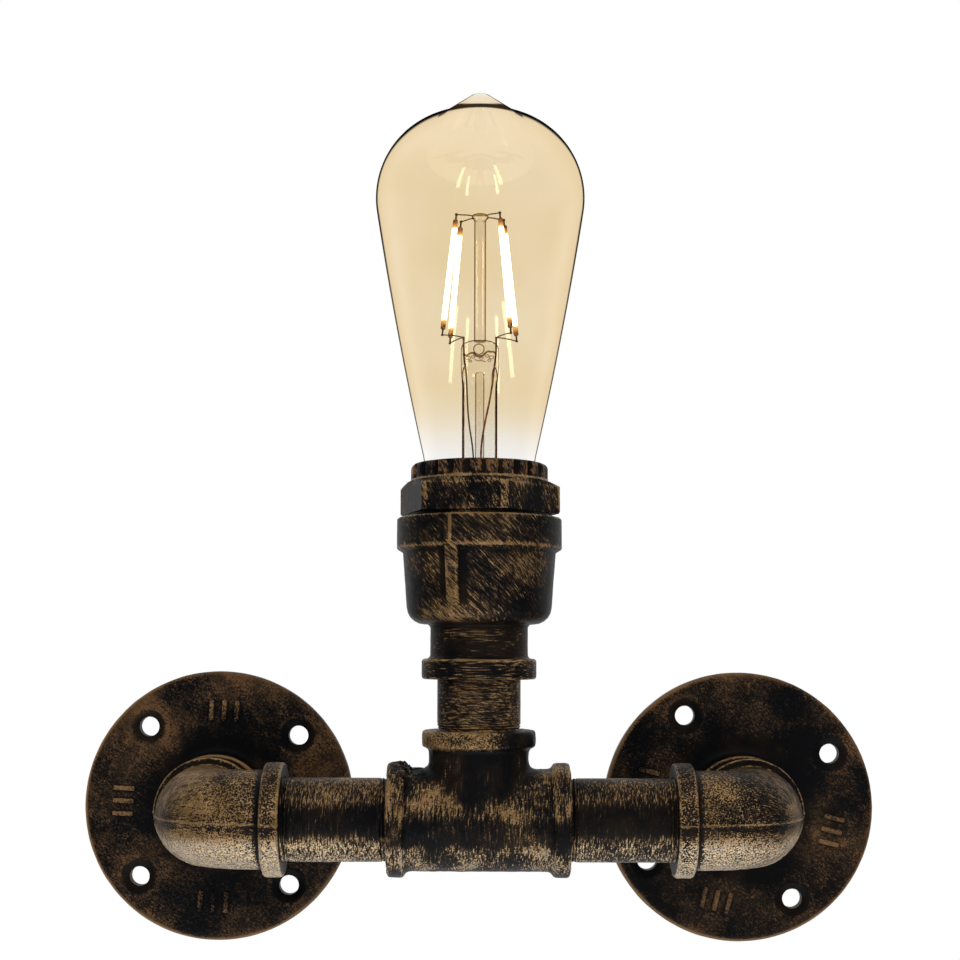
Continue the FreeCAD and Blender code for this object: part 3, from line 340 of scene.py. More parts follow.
def columns(count, places=(), spread=()):
    # angles round a ring, with extra ones each side of the places, in degrees
    found = set(round(360.0 * k / count, 4) for k in range(count))
    for place in places:
        for offset in spread:
            found |= {round((place + offset) % 360, 4), round((place - offset) % 360, 4)}
    return np.radians(np.array(sorted(found)))


def straight(origin, along, first, second):
    origin, along, first, second = (np.array(v, float) for v in (origin, along, first, second))

    def place(length):
        many = (len(length), 1)
        return origin + np.outer(length, along), np.tile(first, many), np.tile(second, many)
    return place


def standing(x=0, y=axisY, z=0):     # a line straight up
    return straight((x, y, z), upward, rightward, backward)


def added(name, data):
    made = bpy.data.objects.new(name, data)
    bpy.context.scene.collection.objects.link(made)
    return made


def addedWork(name, work):
    mesh = bpy.data.meshes.new(name)
    work.to_mesh(mesh)
    work.free()
    return added(name, mesh)


def ring(name, outline, place, angles, shape=None, closed=True):
    # an outline of (along, radius) points carried round the line that place gives;
    # closed outlines go back to their first point, the others mostly start and end on the line
    rows = np.array(outline, float)
    along, radius = rows[:, 0], np.repeat(rows[:, 1:2], len(angles), 1)
    if shape:
        radius = shape(along[:, None] + 0 * radius, radius, angles[None, :] + 0 * radius)
    centre, first, second = place(along)
    turned = np.cos(angles)[None, :, None] * first[:, None, :]
    turned = turned + np.sin(angles)[None, :, None] * second[:, None, :]
    points = (centre[:, None, :] + radius[:, :, None] * turned).reshape(-1, 3) * mm
    high, wide = len(rows), len(angles)
    faces = []
    for i in range(high if closed else high - 1):
        here, above = i * wide, (i + 1) % high * wide
        faces += [(here + k, here + (k + 1) % wide, above + (k + 1) % wide, above + k) for k in range(wide)]
    mesh = bpy.data.meshes.new(name)
    mesh.from_pydata(points.tolist(), [], faces)
    work = bmesh.new()
    work.from_mesh(mesh)
    bmesh.ops.remove_doubles(work, verts=work.verts, dist=1e-7)
    bmesh.ops.recalc_face_normals(work, faces=work.faces)
    work.to_mesh(mesh)
    work.free()
    return added(name, mesh)


def settle(made):
    # modifiers are taken into the mesh
    bpy.context.view_layer.update()
    shown = made.evaluated_get(bpy.context.evaluated_depsgraph_get())
    mesh = bpy.data.meshes.new_from_object(shown)
    made.modifiers.clear()
    made.data = mesh


def cutOrJoin(made, others, operation):
    for other in others:
        step = made.modifiers.new("step", "BOOLEAN")
        step.operation, step.solver, step.object = operation, "EXACT", other
    settle(made)
    for other in others:
        bpy.data.objects.remove(other)


def pointsOf(mesh):
    # in metres, and their normals
    found = []
    for values, key in ((mesh.vertices, "co"), (mesh.vertex_normals, "vector")):
        flat = np.empty(len(mesh.vertices) * 3)
        values.foreach_get(key, flat)
        found.append(flat.reshape(-1, 3))
    return found


def castSkin(made, depth, size, level=0.35, share=None):
    # small unevenness of a sand casting, in mm; share(x, y, z) says how much of it a point takes
    mesh = made.data
    mesh.update()
    points, normals = pointsOf(mesh)
    lift = np.empty(len(points))
    for k, point in enumerate(points):
        spot = Vector(point) * (1 / mm / size)
        lift[k] = noise.noise(spot) * 0.6 + noise.noise(spot * 3.1) * 0.4
    lift = (lift - level) * depth
    if share:
        lift *= share(*(points.T / mm))
    points = np.clip(points + normals * lift[:, None] * mm, *cadBox)     # never outside the CAD box
    mesh.vertices.foreach_set("co", points.ravel())
    mesh.update()


def markWear(made, gain, spread, rub):
    # "wear" says how far a point stands out: above 0 on edges, below 0 in corners;
    # "rub", from rub(x, y, z) in mm, gives extra bronze, or less, in chosen places
    mesh = made.data
    points, normals = pointsOf(mesh)
    points = points / mm
    edges = np.empty(len(mesh.edges) * 2, int)
    mesh.edges.foreach_get("vertices", edges)
    a, b = edges.reshape(-1, 2).T
    step = points[b] - points[a]
    size = np.maximum((step ** 2).sum(1), 0.04)
    bend, met = np.zeros(len(points)), np.zeros(len(points))
    np.add.at(bend, a, -(normals[a] * step).sum(1) / size)
    np.add.at(bend, b, (normals[b] * step).sum(1) / size)
    np.add.at(met, a, 1)
    np.add.at(met, b, 1)
    bend = np.clip(bend / np.maximum(met, 1), -0.6, 0.6)
    for turn in range(spread):
        near = bend.copy()
        np.add.at(near, a, bend[b])
        np.add.at(near, b, bend[a])
        bend = near / (met + 1)
    for name, values in (("wear", np.clip((bend - 0.03) * gain * 4, -1, 1)), ("rub", rub(*points.T))):
        layer = mesh.attributes.new(name, "FLOAT", "POINT")
        layer.data.foreach_set("value", np.asarray(values, np.float32))


def eased(value, low, high):         # from 0 to 1 with soft ends
    share = np.clip((value - low) / (high - low), 0, 1)
    return share * share * (3 - 2 * share)


def ramp(value, low, high):          # from 0 to 1 in a straight line
    return np.clip((value - low) / (high - low), 0, 1)


def hump(value, at, wide):           # 1 at one place, falling to 0 each side
    return np.exp(-((value - at) / wide) ** 2)


def spots(rows, x, z):               # ovals seen from the front, as (bronze, x, z, wide, high)
    return sum(bronze * np.exp(-((x - atX) / wide) ** 2 - ((z - atZ) / high) ** 2)
               for bronze, atX, atZ, wide, high in rows)


def lines(rows, value):              # as (bronze, place, wide)
    return sum(bronze * hump(value, at, wide) for bronze, at, wide in rows)


def dress(made, finish, body, node=None, sharp=35):
    made.data.materials.clear()
    made.data.materials.append(finish)
    made.data.shade_smooth()
    made.data.set_sharp_from_angle(angle=math.radians(sharp))
    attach(made, body)
    if node:
        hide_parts(node)
    return made


# Flanges

flangeSizes = {"plate": 44.5, "thick": 5.0, "hub": 17.5, "hubTop": 14.0, "bore": 12.75, "holeCircle": 35.0,
               "hole": 3.2, "dish": 5.3, "dishDepth": 1.3, "cutterEnd": 2.0, "cutterRise": 0.8,
               "cutterFlare": 0.9, "barCircle": 31.5, "barLength": 7.0, "barWidth": 1.6, "barPitch": 4.2,
               "barHeight": 0.7, "barRoot": 0.8, "barRound": 0.45}


def flangeHole(x, angle):
    circle, thick, hole, dish, deep = take(flangeSizes, "holeCircle thick hole dish dishDepth")
    end, over, flare = take(flangeSizes, "cutterEnd cutterRise cutterFlare")
    radians = math.radians(angle)
    centre = (x + circle * math.cos(radians), 0.0, circle * math.sin(radians))
    outline = [(-end, 0.0), (-end, hole), (thick - deep, hole), (thick, dish), (thick + over, dish + flare),
               (thick + over, 0.0)]
    return ring("cutter", outline, straight(centre, outward, rightward, upward), columns(48), closed=False)


def flangeBar(x, angle, offset):
    # a raised bar left by the mould, rounded all over
    circle, long, wide, high = take(flangeSizes, "barCircle barLength barWidth barHeight")
    root, edge, thick = take(flangeSizes, "barRoot barRound thick")
    work = bmesh.new()
    bmesh.ops.create_cube(work, size=1.0)
    for vert in work.verts:
        vert.co = Vector((vert.co.x * long, vert.co.y * (high + root), vert.co.z * wide))
    bmesh.ops.bevel(work, geom=work.edges[:], offset=edge, segments=3, affect="EDGES", profile=0.5)
    radians = math.radians(angle)
    out = Vector((math.cos(radians), 0, math.sin(radians)))
    side = Vector((-math.sin(radians), 0, math.cos(radians)))
    for vert in work.verts:
        flat = out * (circle + vert.co.x) + side * (offset + vert.co.z)
        vert.co = Vector((x + flat.x, -(thick + (high - root) / 2) + vert.co.y, flat.z)) * mm
    return addedWork("bar", work)


def flangePiece(side, holeAngle, barAngle, shade):
    name = sideNames[side] + "_flange"
    x = side * flangeX
    bore, plate, thick, hub, top, circle = take(flangeSizes, "bore plate thick hub hubTop holeCircle")
    outline = rounded([(0.0, bore, 0.3), (0.0, plate, 0.6), (thick, plate, 2.2), (thick, hub, 3.0),
                       (top, hub, 1.2), (top, bore, 0.3)], step=1.3)
    made = ring(name + "_casting", outline, straight((x, 0, 0), outward, rightward, upward), columns(200))
    rows = [k * flangeSizes["barPitch"] for k in (-1, 0, 1)]
    cutOrJoin(made, [flangeBar(x, barAngle + 90 * turn, row) for turn in range(3) for row in rows], "UNION")
    cutOrJoin(made, [flangeHole(x, holeAngle + 90 * k) for k in range(4)], "DIFFERENCE")
    castSkin(made, 0.10, 6.0)

    def rub(px, py, pz):
        px = px - x
        reach = np.hypot(px, pz)
        # the rim's bronze is stronger toward the upper left: partly rubbed paint, partly a painted highlight
        # on the lit side
        rim = ramp(reach, 43.3, 43.8) * (0.20 + 0.14 * np.clip((-px - pz) / 60, -1, 1))
        face = -0.14 * hump(reach, 21.0, 3.5) * (py > -7) + shade * (reach < 43.2)
        bars = -0.055 * (py < -5.25) * (py > -6.2) * (reach > 22)
        # the hub's front face and side, behind the elbow, get less bronze: painted shadow of the elbow; a
        # bronze line stays on the hub's front edge
        hub = 0.16 * (py < -12.0) * hump(reach, 17.2, 0.35) - 0.20 * (py < -12.5) * (reach < 16.6)
        hub -= 0.12 * (py < -6) * (py > -12.5) * (reach > 17)
        holes = 0
        for k in range(4):
            turn = math.radians(holeAngle + 90 * k)
            away = np.hypot(px - circle * math.cos(turn), pz - circle * math.sin(turn))
            holes = holes + 0.09 * hump(away, 6.3, 0.6) - 0.4 * ramp(-away, -5.9, -4.7)
        return rim + face + bars + hub + holes

    markWear(made, 1.0, 1, rub)
    dress(made, finishes["flange"], name, name)


flangePiece(-1, 41.7, 87.0, 0.0)
flangePiece(1, 30.4, 166.0, -0.065)
print("flanges made")


# Pipe, with a turned relief and a few turns of thread where it leaves a fitting

pipeSizes = {"radius": 12.7, "bore": 10.0, "edge": 0.3, "pitch": 1.0, "threadDepth": 0.38,
             "threadLength": 2.4, "reliefDepth": 0.45, "armStart": 15.7, "armLength": 55.3, "rearStart": 5.0,
             "rearLength": 28.0, "neckStart": 15.4, "neckLength": 39.3}


def pipePiece(name, place, length, threads, look, body, node, shade=0.0):
    # threads are (place where the fitting ends, direction away from it) along the pipe
    bore, radius, edge, threadLength = take(pipeSizes, "bore radius edge threadLength")
    pitch, threadDepth, reliefDepth = take(pipeSizes, "pitch threadDepth reliefDepth")
    rows = [(0.0, bore), (0.0, radius - edge), (edge, radius)]
    along = edge
    while along < length - edge:
        near = any(-0.4 < (along - end) * way < threadLength + 0.6 for end, way in threads)
        along += 0.15 if near else 1.0
        if along < length - edge - 0.05:
            rows.append((along, radius))
    rows += [(length - edge, radius), (length, radius - edge), (length, bore)]
    count = int(length / 4)
    rows += [(length - length * k / count, bore) for k in range(1, count)]

    def shape(at, radius, angle):
        cut = np.zeros_like(radius)
        for end, way in threads:
            out = (at - end) * way
            fade = ramp(out, -0.2, 0.1) * np.clip((threadLength - out) / 1.2, 0, 1)
            wave = 0.5 - 0.5 * np.cos(2 * np.pi * at / pitch - angle * way)
            relief = np.clip(1.0 - np.abs(out - 0.4) / 0.5, 0, 1) * reliefDepth
            cut = np.maximum(cut, np.maximum(fade * wave * threadDepth, relief))
        return radius - np.where(radius > bore + 1, cut, 0)

    made = ring(name + "_pipe", rows, place, columns(96), shape)
    castSkin(made, 0.03, 3.0)
    markWear(made, 0.6, 1, lambda x, y, z: shade + 0 * x)
    dress(made, finishes[look], body, node)


for side, name in sideNames.items():
    along = straight((side * pipeSizes["armStart"], axisY, 0), (side, 0, 0), outward, upward)
    pipePiece(name + "_arm", along, pipeSizes["armLength"], [(12.0, 1), (43.3, -1)], "pipe", "arm",
              name + "_pipe", 0.0 if side < 0 else -0.045)
    behind = straight((side * flangeX, -pipeSizes["rearStart"], 0), outward, rightward, upward)
    pipePiece(name + "_rear", behind, pipeSizes["rearLength"], [(9.0, 1), (16.0, -1)], "neck",
              "wall_fittings", name + "_rear_nipple")
pipePiece("neck", standing(z=pipeSizes["neckStart"]), pipeSizes["neckLength"], [(12.0, 1)], "neck", "head",
          "neck_nipple")
print("pipes made")


# Elbows

elbowSizes = {"reach": 27.0, "bend": 16.0, "body": 15.1, "bead": 17.4, "beadWidth": 5.8, "mouth": 12.75,
              "mouthDepth": 12.5, "bore": 10.0, "seamHeight": 0.33, "seamWidth": 0.4}


def elbowPiece(side, shade):
    name = sideNames[side] + "_elbow"
    wide, body, bead, mouth, deep, bore = take(elbowSizes, "beadWidth body bead mouth mouthDepth bore")
    reach, bend, seamHeight, seamWidth = take(elbowSizes, "reach bend seamHeight seamWidth")
    run = reach - bend
    arc = bend * math.pi / 2
    total = 2 * run + arc
    corners = [(0.0, mouth, 0.4), (0.0, bead, 1.0), (wide, bead, 1.0), (wide + 0.2, body, 1.0)]
    corners += [(total - along, radius, fillet) for along, radius, fillet in reversed(corners)]
    corners += [(total - deep, mouth, 0), (total - deep, bore, 0), (deep, bore, 0), (deep, mouth, 0)]
    front = flangeX - reach             # where the front bead's mouth stands, in x
    back = axisY + reach                # and the rear bead's, in y
    centre = np.array((side * (flangeX - bend), back - run, 0.0))

    def place(along):
        turn = np.clip((along - run) / bend, 0, math.pi / 2)
        out = np.stack([side * np.cos(turn), -np.sin(turn), 0 * turn], 1)
        on = np.stack([-side * np.sin(turn), -np.cos(turn), 0 * turn], 1)
        extra = np.minimum(along - run, 0) + np.maximum(along - run - arc, 0)
        return centre + out * bend + on * extra[:, None], out, np.tile((0.0, 0.0, 1.0), (len(along), 1))

    def shape(at, radius, angle):
        seam = seamHeight * hump(np.abs(np.sin(angle)) * radius, 0, seamWidth)
        return radius + np.where(radius > mouth + 1, seam, 0)

    angles = columns(112, (0, 180), (0.9, 1.8, 2.7))
    made = ring(name + "_casting", rounded(corners, step=1.1), place, angles, shape)
    castSkin(made, 0.14, 4.0)

    def rub(x, y, z):
        gone, behind = np.abs(x) - front, back - y
        away = np.hypot(np.abs(x) - flangeX, z)
        # the dark line where the bead meets the body and the darker end face round the pipe are painted
        # shade
        ends = lines([(0.10, 0.4, 0.4), (0.10, wide - 0.2, 0.35), (-0.30, wide + 0.75, 0.45)], gone)
        ends -= 0.30 * (gone < 0.25) * (np.hypot(y - axisY, z) < bead - 0.8)
        rear = 0.34 * (behind > 5.0) * hump(away, bead - 0.15, 0.28) - 0.22
        seam = lines([(0.10, 0, 0.45), (-0.07, -1.3, 0.7)], z)
        # the term in z gives more bronze lower down and less on top: partly rubbed paint, partly a painted
        # reflection of the pale floor
        return (shade + seam + 0.03 * np.clip(-z / 12, -1, 1) - 0.05 * (gone < 6.5) * (z > -11)
                + ends + rear * (behind < wide + 0.9) * (away > body + 0.2))

    markWear(made, 0.8, 1, rub)
    dress(made, finishes["elbow"], "wall_fittings", name)


elbowPiece(-1, 0.030)
elbowPiece(1, -0.04)
print("elbows made")


# Tee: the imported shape, softened and roughened like a casting

teeSizes = {"voxel": 0.55, "soften": 4, "roughness": 0.22, "roughSize": 3.0, "flash": 1.5, "flashSize": 1.7,
            "flashLevel": -0.25, "flashSpot": (1, -21.5, axisY, 5, 8),
            "spots": [(0.12, -17, -8, 2.5, 5), (0.11, -18, 4.5, 7, 3.5), (0.07, 13, 3.0, 6, 3)]}


def teePiece():
    size = teeSizes
    made = added("tee_casting", nodes["tee"].data.copy())
    made.data.materials.clear()
    skin = made.modifiers.new("skin", "REMESH")
    skin.mode, skin.voxel_size = "VOXEL", size["voxel"] * mm
    soft = made.modifiers.new("soft", "SMOOTH")
    soft.factor, soft.iterations = 0.5, size["soften"]
    settle(made)
    castSkin(made, size["roughness"], size["roughSize"])

    def onFlash(x, y, z):     # lumps left by the mould on the top of the left bead and beside it
        return spots([size["flashSpot"]], x, y) * (z > 12) * (z < 21) * (x < -15.9)

    castSkin(made, size["flash"], size["flashSize"], size["flashLevel"], onFlash)

    def rub(x, y, z):
        saddle = np.clip((z - 2.0 - np.abs(x) * 0.55) / 4.0, 0, 1) * (np.abs(x) < 19.5) * (z < 21.5)
        top = -0.22 * (z > 21.8) * ramp(x, 2, 11)
        return top + spots(size["spots"], x, z) - 0.12 * ramp(-z, 13.5, 15.5) - 0.17 * saddle

    markWear(made, 1.2, 3, rub)
    dress(made, finishes["tee"], "arm", "tee", 60)


teePiece()
print("tee made")


# Lampholder housing: bead, neck, bowl, band, two ribs and two seam lines

housingSizes = {"foot": 42.7, "bead": 17.5, "beadTop": 48.9, "neck": 14.9, "bowlFoot": 59.4, "bowl": 21.8,
                "bowlTop": 23.3, "bandFoot": 82.5, "band": 25.15, "top": 91.7, "ribAngle": -110.0,
                "ribWidth": 4.2, "ribHeight": 1.8, "ribFoot": 65.6, "ribTop": 84.0, "wallFoot": 64.8,
                "wallHeight": 16.3, "lineFoot": 83.0, "lineWidth": 1.0, "lineHeight": 0.45, "mouth": 12.75,
                "inside": [(91.7, 21.45, 0.3), (85.1, 21.45, 0), (85.1, 19.5, 0), (66.0, 19.5, 0),
                           (66.0, 17.6, 0), (61.0, 17.6, 0), (61.0, 5.05, 0), (56.0, 5.05, 0),
                           (56.0, 12.75, 0)],
                "spots": [(0.035, -14, 63.6, 6, 2.6), (0.02, 3, 62.3, 14, 1.8), (0.03, 6, 76, 8, 6),
                          (0.19, -4, 56.6, 9, 1.6)],
                "lines": [(0.14, 82.7, 0.45), (0.12, 91.5, 0.4), (0.12, 48.6, 0.4), (0.10, 43.1, 0.4)]}


def housingPiece():
    size = housingSizes
    foot, bead, beadTop, neck, mouth = take(size, "foot bead beadTop neck mouth")
    bowlFoot, bowl, bowlTop, band, bandFoot, top = take(size, "bowlFoot bowl bowlTop band bandFoot top")
    ribAngle, ribFoot, ribTop, ribWidth, ribHeight = take(
        size, "ribAngle ribFoot ribTop ribWidth ribHeight")
    wallFoot, wallHeight, lineFoot, lineWidth, lineHeight = take(
        size, "wallFoot wallHeight lineFoot lineWidth lineHeight")
    outline = rounded([
        (foot, mouth, 0.4), (foot, bead, 1.0), (beadTop, bead, 1.0), (beadTop + 0.2, neck, 1.2),
        (bowlFoot, neck, 1.3), (bowlFoot, bowl, 5.4), (bandFoot - 1.4, bowlTop, 0.8),
        (bandFoot - 0.3, band, 0.8), (top, band, 0.8),
    ] + size["inside"], step=0.9)
    angles = columns(190, (ribAngle, ribAngle + 180), (1.0, 1.7, 2.1, 3.5, 5.0, 5.6, 6.1, 6.8))

    def shape(at, radius, angle):
        off = np.abs(np.angle(np.exp(2j * (angle - math.radians(ribAngle)))) / 2 * radius)
        rib = np.clip((ribWidth / 2 + 0.15 - off) / 0.5, 0, 1)
        rib = rib * np.clip((at - ribFoot) / 0.9, 0, 1) * np.clip((ribTop - at) / 0.8, 0, 1)
        wall = bowl + (at - wallFoot) * (bowlTop - bowl) / wallHeight
        onWall = (radius > bowl - 0.1) & (at > ribFoot - 0.1) & (at < ribTop)
        raised = np.where(onWall, wall + ribHeight * rib, 0)
        line = np.clip((lineWidth / 2 + 0.15 - off) / 0.35, 0, 1) * lineHeight
        return np.maximum(radius, raised * (rib > 0)) + line * (at > lineFoot) * (radius > band - 1)

    made = ring("holder_casting", outline, standing(), angles, shape)
    castSkin(made, 0.10, 4.0)

    def rub(x, y, z):
        angle = np.abs(np.degrees(np.arctan2(y - axisY, x)) - ribAngle)
        low = (z < 82) * (z > 65)
        ribs = (angle < 4.9) * low * 0.11 + (angle < 1.4) * (z > lineFoot) * 0.18
        # the dark strips each side of the front rib are a painted shadow of the rib
        ribs = ribs - 0.16 * (np.abs(angle - 7.6) < 2.4) * low
        front = (ribs + spots(size["spots"], x, z) - 0.07 * ramp(x, 7, 13) * (z < 66.5)) * (y < axisY)
        throat = -0.15 * ramp(-z, -60.2, -59.2) * (z > 49.3)
        throat = throat - (0.07 - 0.07 * ramp(x, 0, 10)) * (z < 48.2) * (z > 43.4)
        return front + lines(size["lines"], z) + throat - 0.06 * ramp(np.abs(x), 16, 24)

    markWear(made, 0.7, 1, rub)
    dress(made, finishes["housing"], "head", "holder_housing")


housingPiece()


# Hexagonal collar with its ribbed rim

collarSizes = {"skirt": 85.4, "foot": 92.9, "hexTop": 102.4, "rimTop": 108.1, "flats": 21.75,
               "corner": -72.3, "chamfer": 1.5, "rim": 20.9, "rimFoot": 1.2, "grooves": 25,
               "grooveRadius": 1.2, "grooveDepth": 1.1, "lip": 17.6, "inside": 19.55, "skirtRadius": 21.4}


def collarPiece():
    size = collarSizes
    hexTop, rim, foot, lip, corner, flats = take(size, "hexTop rim foot lip corner flats")
    skirt, inside, skirtRadius, top = take(size, "skirt inside skirtRadius rimTop")
    rimFoot, grooves, groove, grooveDepth = take(size, "rimFoot grooves grooveRadius grooveDepth")
    peak = flats / math.cos(math.pi / 6)
    outline = rounded([
        (skirt, inside, 0), (skirt, skirtRadius, 0.4), (foot, skirtRadius, 0), (foot, peak - 0.6, 0.2),
        (foot + 0.6, peak, 0.2), (hexTop - size["chamfer"], peak, 0.3), (hexTop, peak - 3.0, 0.3),
        (hexTop, rim, rimFoot), (top, rim, 1.6), (top, lip, 0.5), (hexTop, lip, 0), (hexTop, inside, 0),
    ], step=0.7, arcStep=15)

    def shape(at, radius, angle):
        off = np.mod(angle - math.radians(corner + 30), math.pi / 3)
        flat = np.minimum(flats / np.cos(np.minimum(off, math.pi / 3 - off)), peak - 0.25)
        onHex = (at > foot - 0.01) & (at < hexTop + 0.01) & (radius > rim + rimFoot - 0.02)
        radius = np.where(onHex, np.minimum(radius, flat), radius)
        step = 2 * math.pi / grooves
        away = np.mod(angle + step / 2, step) - step / 2
        middle = rim + groove - grooveDepth
        aside = np.abs(middle * np.sin(away))
        floor = middle * np.cos(away) - np.sqrt(np.maximum(groove ** 2 - aside ** 2, 0))
        inGroove = (aside < groove) & (at > hexTop + 1.1) & (radius > lip + 1)
        return np.where(inGroove, np.minimum(radius, floor), radius)

    angles = columns(350, [corner + 60 * k for k in range(6)], (0.15, 0.5))
    made = ring("collar_casting", outline, standing(), angles, shape)
    castSkin(made, 0.07, 4.0)

    def rub(x, y, z):
        angle = np.arctan2(y - axisY, x)
        onRib = np.abs(np.sin(angle * grooves / 2)) > 0.44
        ribs = np.where(onRib, 0.05 + 0.09 * np.sin(angle * 8.3 + 1.0), -0.30) * (z > 103.7) * (z < 107.6)
        onCorner = np.mod(angle - math.radians(corner) + 0.05, math.pi / 3) < 0.10
        edges = onCorner * 0.12 * (z < 101.5) - 0.12 * (z < 101) * ramp(-x, 16, 18)
        front = spots([(0.06, 4, 98, 5, 4)], x, z) * (y < axisY)
        return lines([(0.30, 103.0, 0.40), (0.10, 101.0, 0.35)], z) + ribs + edges + front

    markWear(made, 0.5, 1, rub)
    dress(made, finishes["collar"], "head", "hex_collar", 50)


collarPiece()
print("lampholder housing and collar made")


# Bulb glass: one thin blown skin, from the pip down to the neck, its far side seen through the near one

bulbSizes = {"length": 143.5, "width": 63.98, "shoulder": 25.8, "crown": 43.7, "shoulderHeight": 110.8,
             "neckTop": 31.5, "neckRadius": 17.2, "flank": 9.2, "bulge": 0.66, "nib": 13.2, "nibTip": 6.8,
             "waist": 11.3, "rim": 25.6, "depth": 8.0, "lip": 1.1, "lipHeight": 0.4,
             "footIn": 1.6, "footUp": 2.2}


def glassLine(size):
    # half outline from the neck up to the pip, as (height, radius)
    shoulder, crown, tip, waist, neckX, nibX = take(size, "shoulder crown nibTip waist neckRadius nib")
    shoulderZ, neckZ = tipZ + size["shoulderHeight"], tipZ + size["neckTop"]
    rim, top = tipZ + size["rim"], tipZ + size["length"]
    lip, lipOut, footIn, footUp, bulge = take(size, "lipHeight lip footIn footUp bulge")
    shoulderX = size["width"] / 2 - shoulder
    crownZ = shoulderZ - math.sqrt((crown - shoulder) ** 2 - shoulderX ** 2)
    flank = math.radians(size["flank"])
    join = math.asin(shoulderX / (crown - shoulder))
    nibZ = crownZ + math.sqrt(crown ** 2 - nibX ** 2)
    domeZ = top - tip
    turn = math.acos(tip / math.hypot(nibX, nibZ - domeZ))
    turn = math.pi / 2 - turn + math.atan2(nibZ - domeZ, nibX)
    line = [(waist, rim - size["depth"])]

    def at(radius, x, z, angle):         # angle from straight up
        return x + radius * math.sin(angle), z + radius * math.cos(angle)

    def run(end, count):
        (x, z), (toX, toZ) = line[-1], end
        line.extend((x + (toX - x) * k / count, z + (toZ - z) * k / count) for k in range(1, count + 1))

    def sweep(middle, end, count):
        line.extend(threePointArc(line[-1], middle, end, count))

    flankEnd = at(shoulder, shoulderX, shoulderZ, math.pi / 2 + flank)
    run((waist, rim - lip), 4)
    run((waist + lipOut, rim + lip), 2)
    sweep((neckX - footIn, rim + footUp), (neckX, neckZ), 8)
    sweep(((neckX + flankEnd[0]) / 2 + bulge, (neckZ + flankEnd[1]) / 2), flankEnd, 18)
    sweep(at(shoulder, shoulderX, shoulderZ, (math.pi / 2 + join + flank) / 2),
          at(crown, 0, crownZ, join), 28)
    sweep(at(crown, 0, crownZ, (join + math.asin(nibX / crown)) / 2), (nibX, nibZ), 8)
    run(at(tip, 0, domeZ, turn), 5)
    sweep(at(tip, 0, domeZ, turn / 2), (0.0, domeZ + tip), 8)
    return [(z, max(r, 0.0)) for r, z in line]


glassTints = {
    "clear": (0.985, 0.986, 0.987),
    "amber": (0.957, 0.872, 0.715),
    "deepAmber": (0.930, 0.825, 0.640),
    "sideAmber": (0.895, 0.785, 0.600),
    # near black, for the painted dark reflection at the glass's rim
    "edge": (0.020, 0.010, 0.005),
}
glassHeights = {"stain": (0.106, 0.131), "pip": (0.2190, 0.2225), "pale": (0.200, 0.216),
                "nib": (0.2163, 0.2172), "crown": (0.200, 0.212), "darker": (0.150, 0.200)}      # in metres


def bulbGlassFinish():
    paint = newFinish("bulb_glass_thin")
    where = paint.where()
    height = paint.part(where, 2)
    cloud = paint.grain(where, 26.0, 2.0, 0.5)
    facing = paint.facing()
    see = {tint: paint.clear(colour) for tint, colour in glassTints.items()}

    def above(key, value=height):
        return paint.rise(value, *glassHeights[key])

    stained = above("stain", height + (cloud - 0.5) * 0.010) * (1 - above("pip") * 0.75)
    deep = paint.rise(cloud, 0.38, 0.62) * (1 - above("pale") * 0.8)
    tinted = paint.mixShader(deep, see["amber"], see["deepAmber"])
    tinted = paint.mixShader(paint.rise(facing, 0.45, 0.85), tinted, see["sideAmber"])
    body = paint.mixShader(stained, see["clear"], tinted)
    nib = above("nib")
    crown = above("crown") * (1 - nib)
    # the dark rim toward the silhouette, wider at the crown, narrower at the nib and darker higher up, is a
    # painted dark reflection and refraction of the room
    edge = paint.rise(facing + crown * 0.055 - nib * 0.045, 0.785, 0.870) * (0.74 + above("darker") * 0.24)
    body = paint.mixShader(edge, body, see["edge"])
    return paint.surface(paint.mixShader((1 - edge) * 0.05, body, paint.gloss({"Roughness": 0.02})))


def clearGlassFinish(name, tint, rim, thin, thick):
    # clear glass drawn by its edges, which darken to the rim colour: partly the glass's own tint through its
    # thickness, partly a painted dark reflection and refraction; thin and thick say how far in from the edge
    # it darkens
    paint = newFinish(name)
    wave = paint.grain(paint.where(), 260.0, 2.0, 0.5)
    edge = paint.rise(paint.facing() + (wave - 0.5) * 0.12, thin, thick)
    body = paint.mixShader(edge, paint.clear(tint), paint.clear(rim))
    gloss = paint.gloss({"Roughness": 0.06, "Normal": paint.bump(wave, 0.5, 0.0002)})
    return paint.surface(paint.mixShader((1 - edge) * 0.06, body, gloss))


def glassPiece(name, outline, count, finish, node, sharp=60, shape=None):
    made = ring(name, outline, standing(), columns(count), shape, closed=False)
    dress(made, finish, "bulb", node, sharp)


shell = ring("bulb_shell", glassLine(bulbSizes)[::-1], standing(), columns(128), closed=False)
dress(shell, bulbGlassFinish(), "bulb", "bulb_glass", 60)


# Inside the bulb: stem with its pinch, exhaust tube, centre rod, leads and four lit filaments

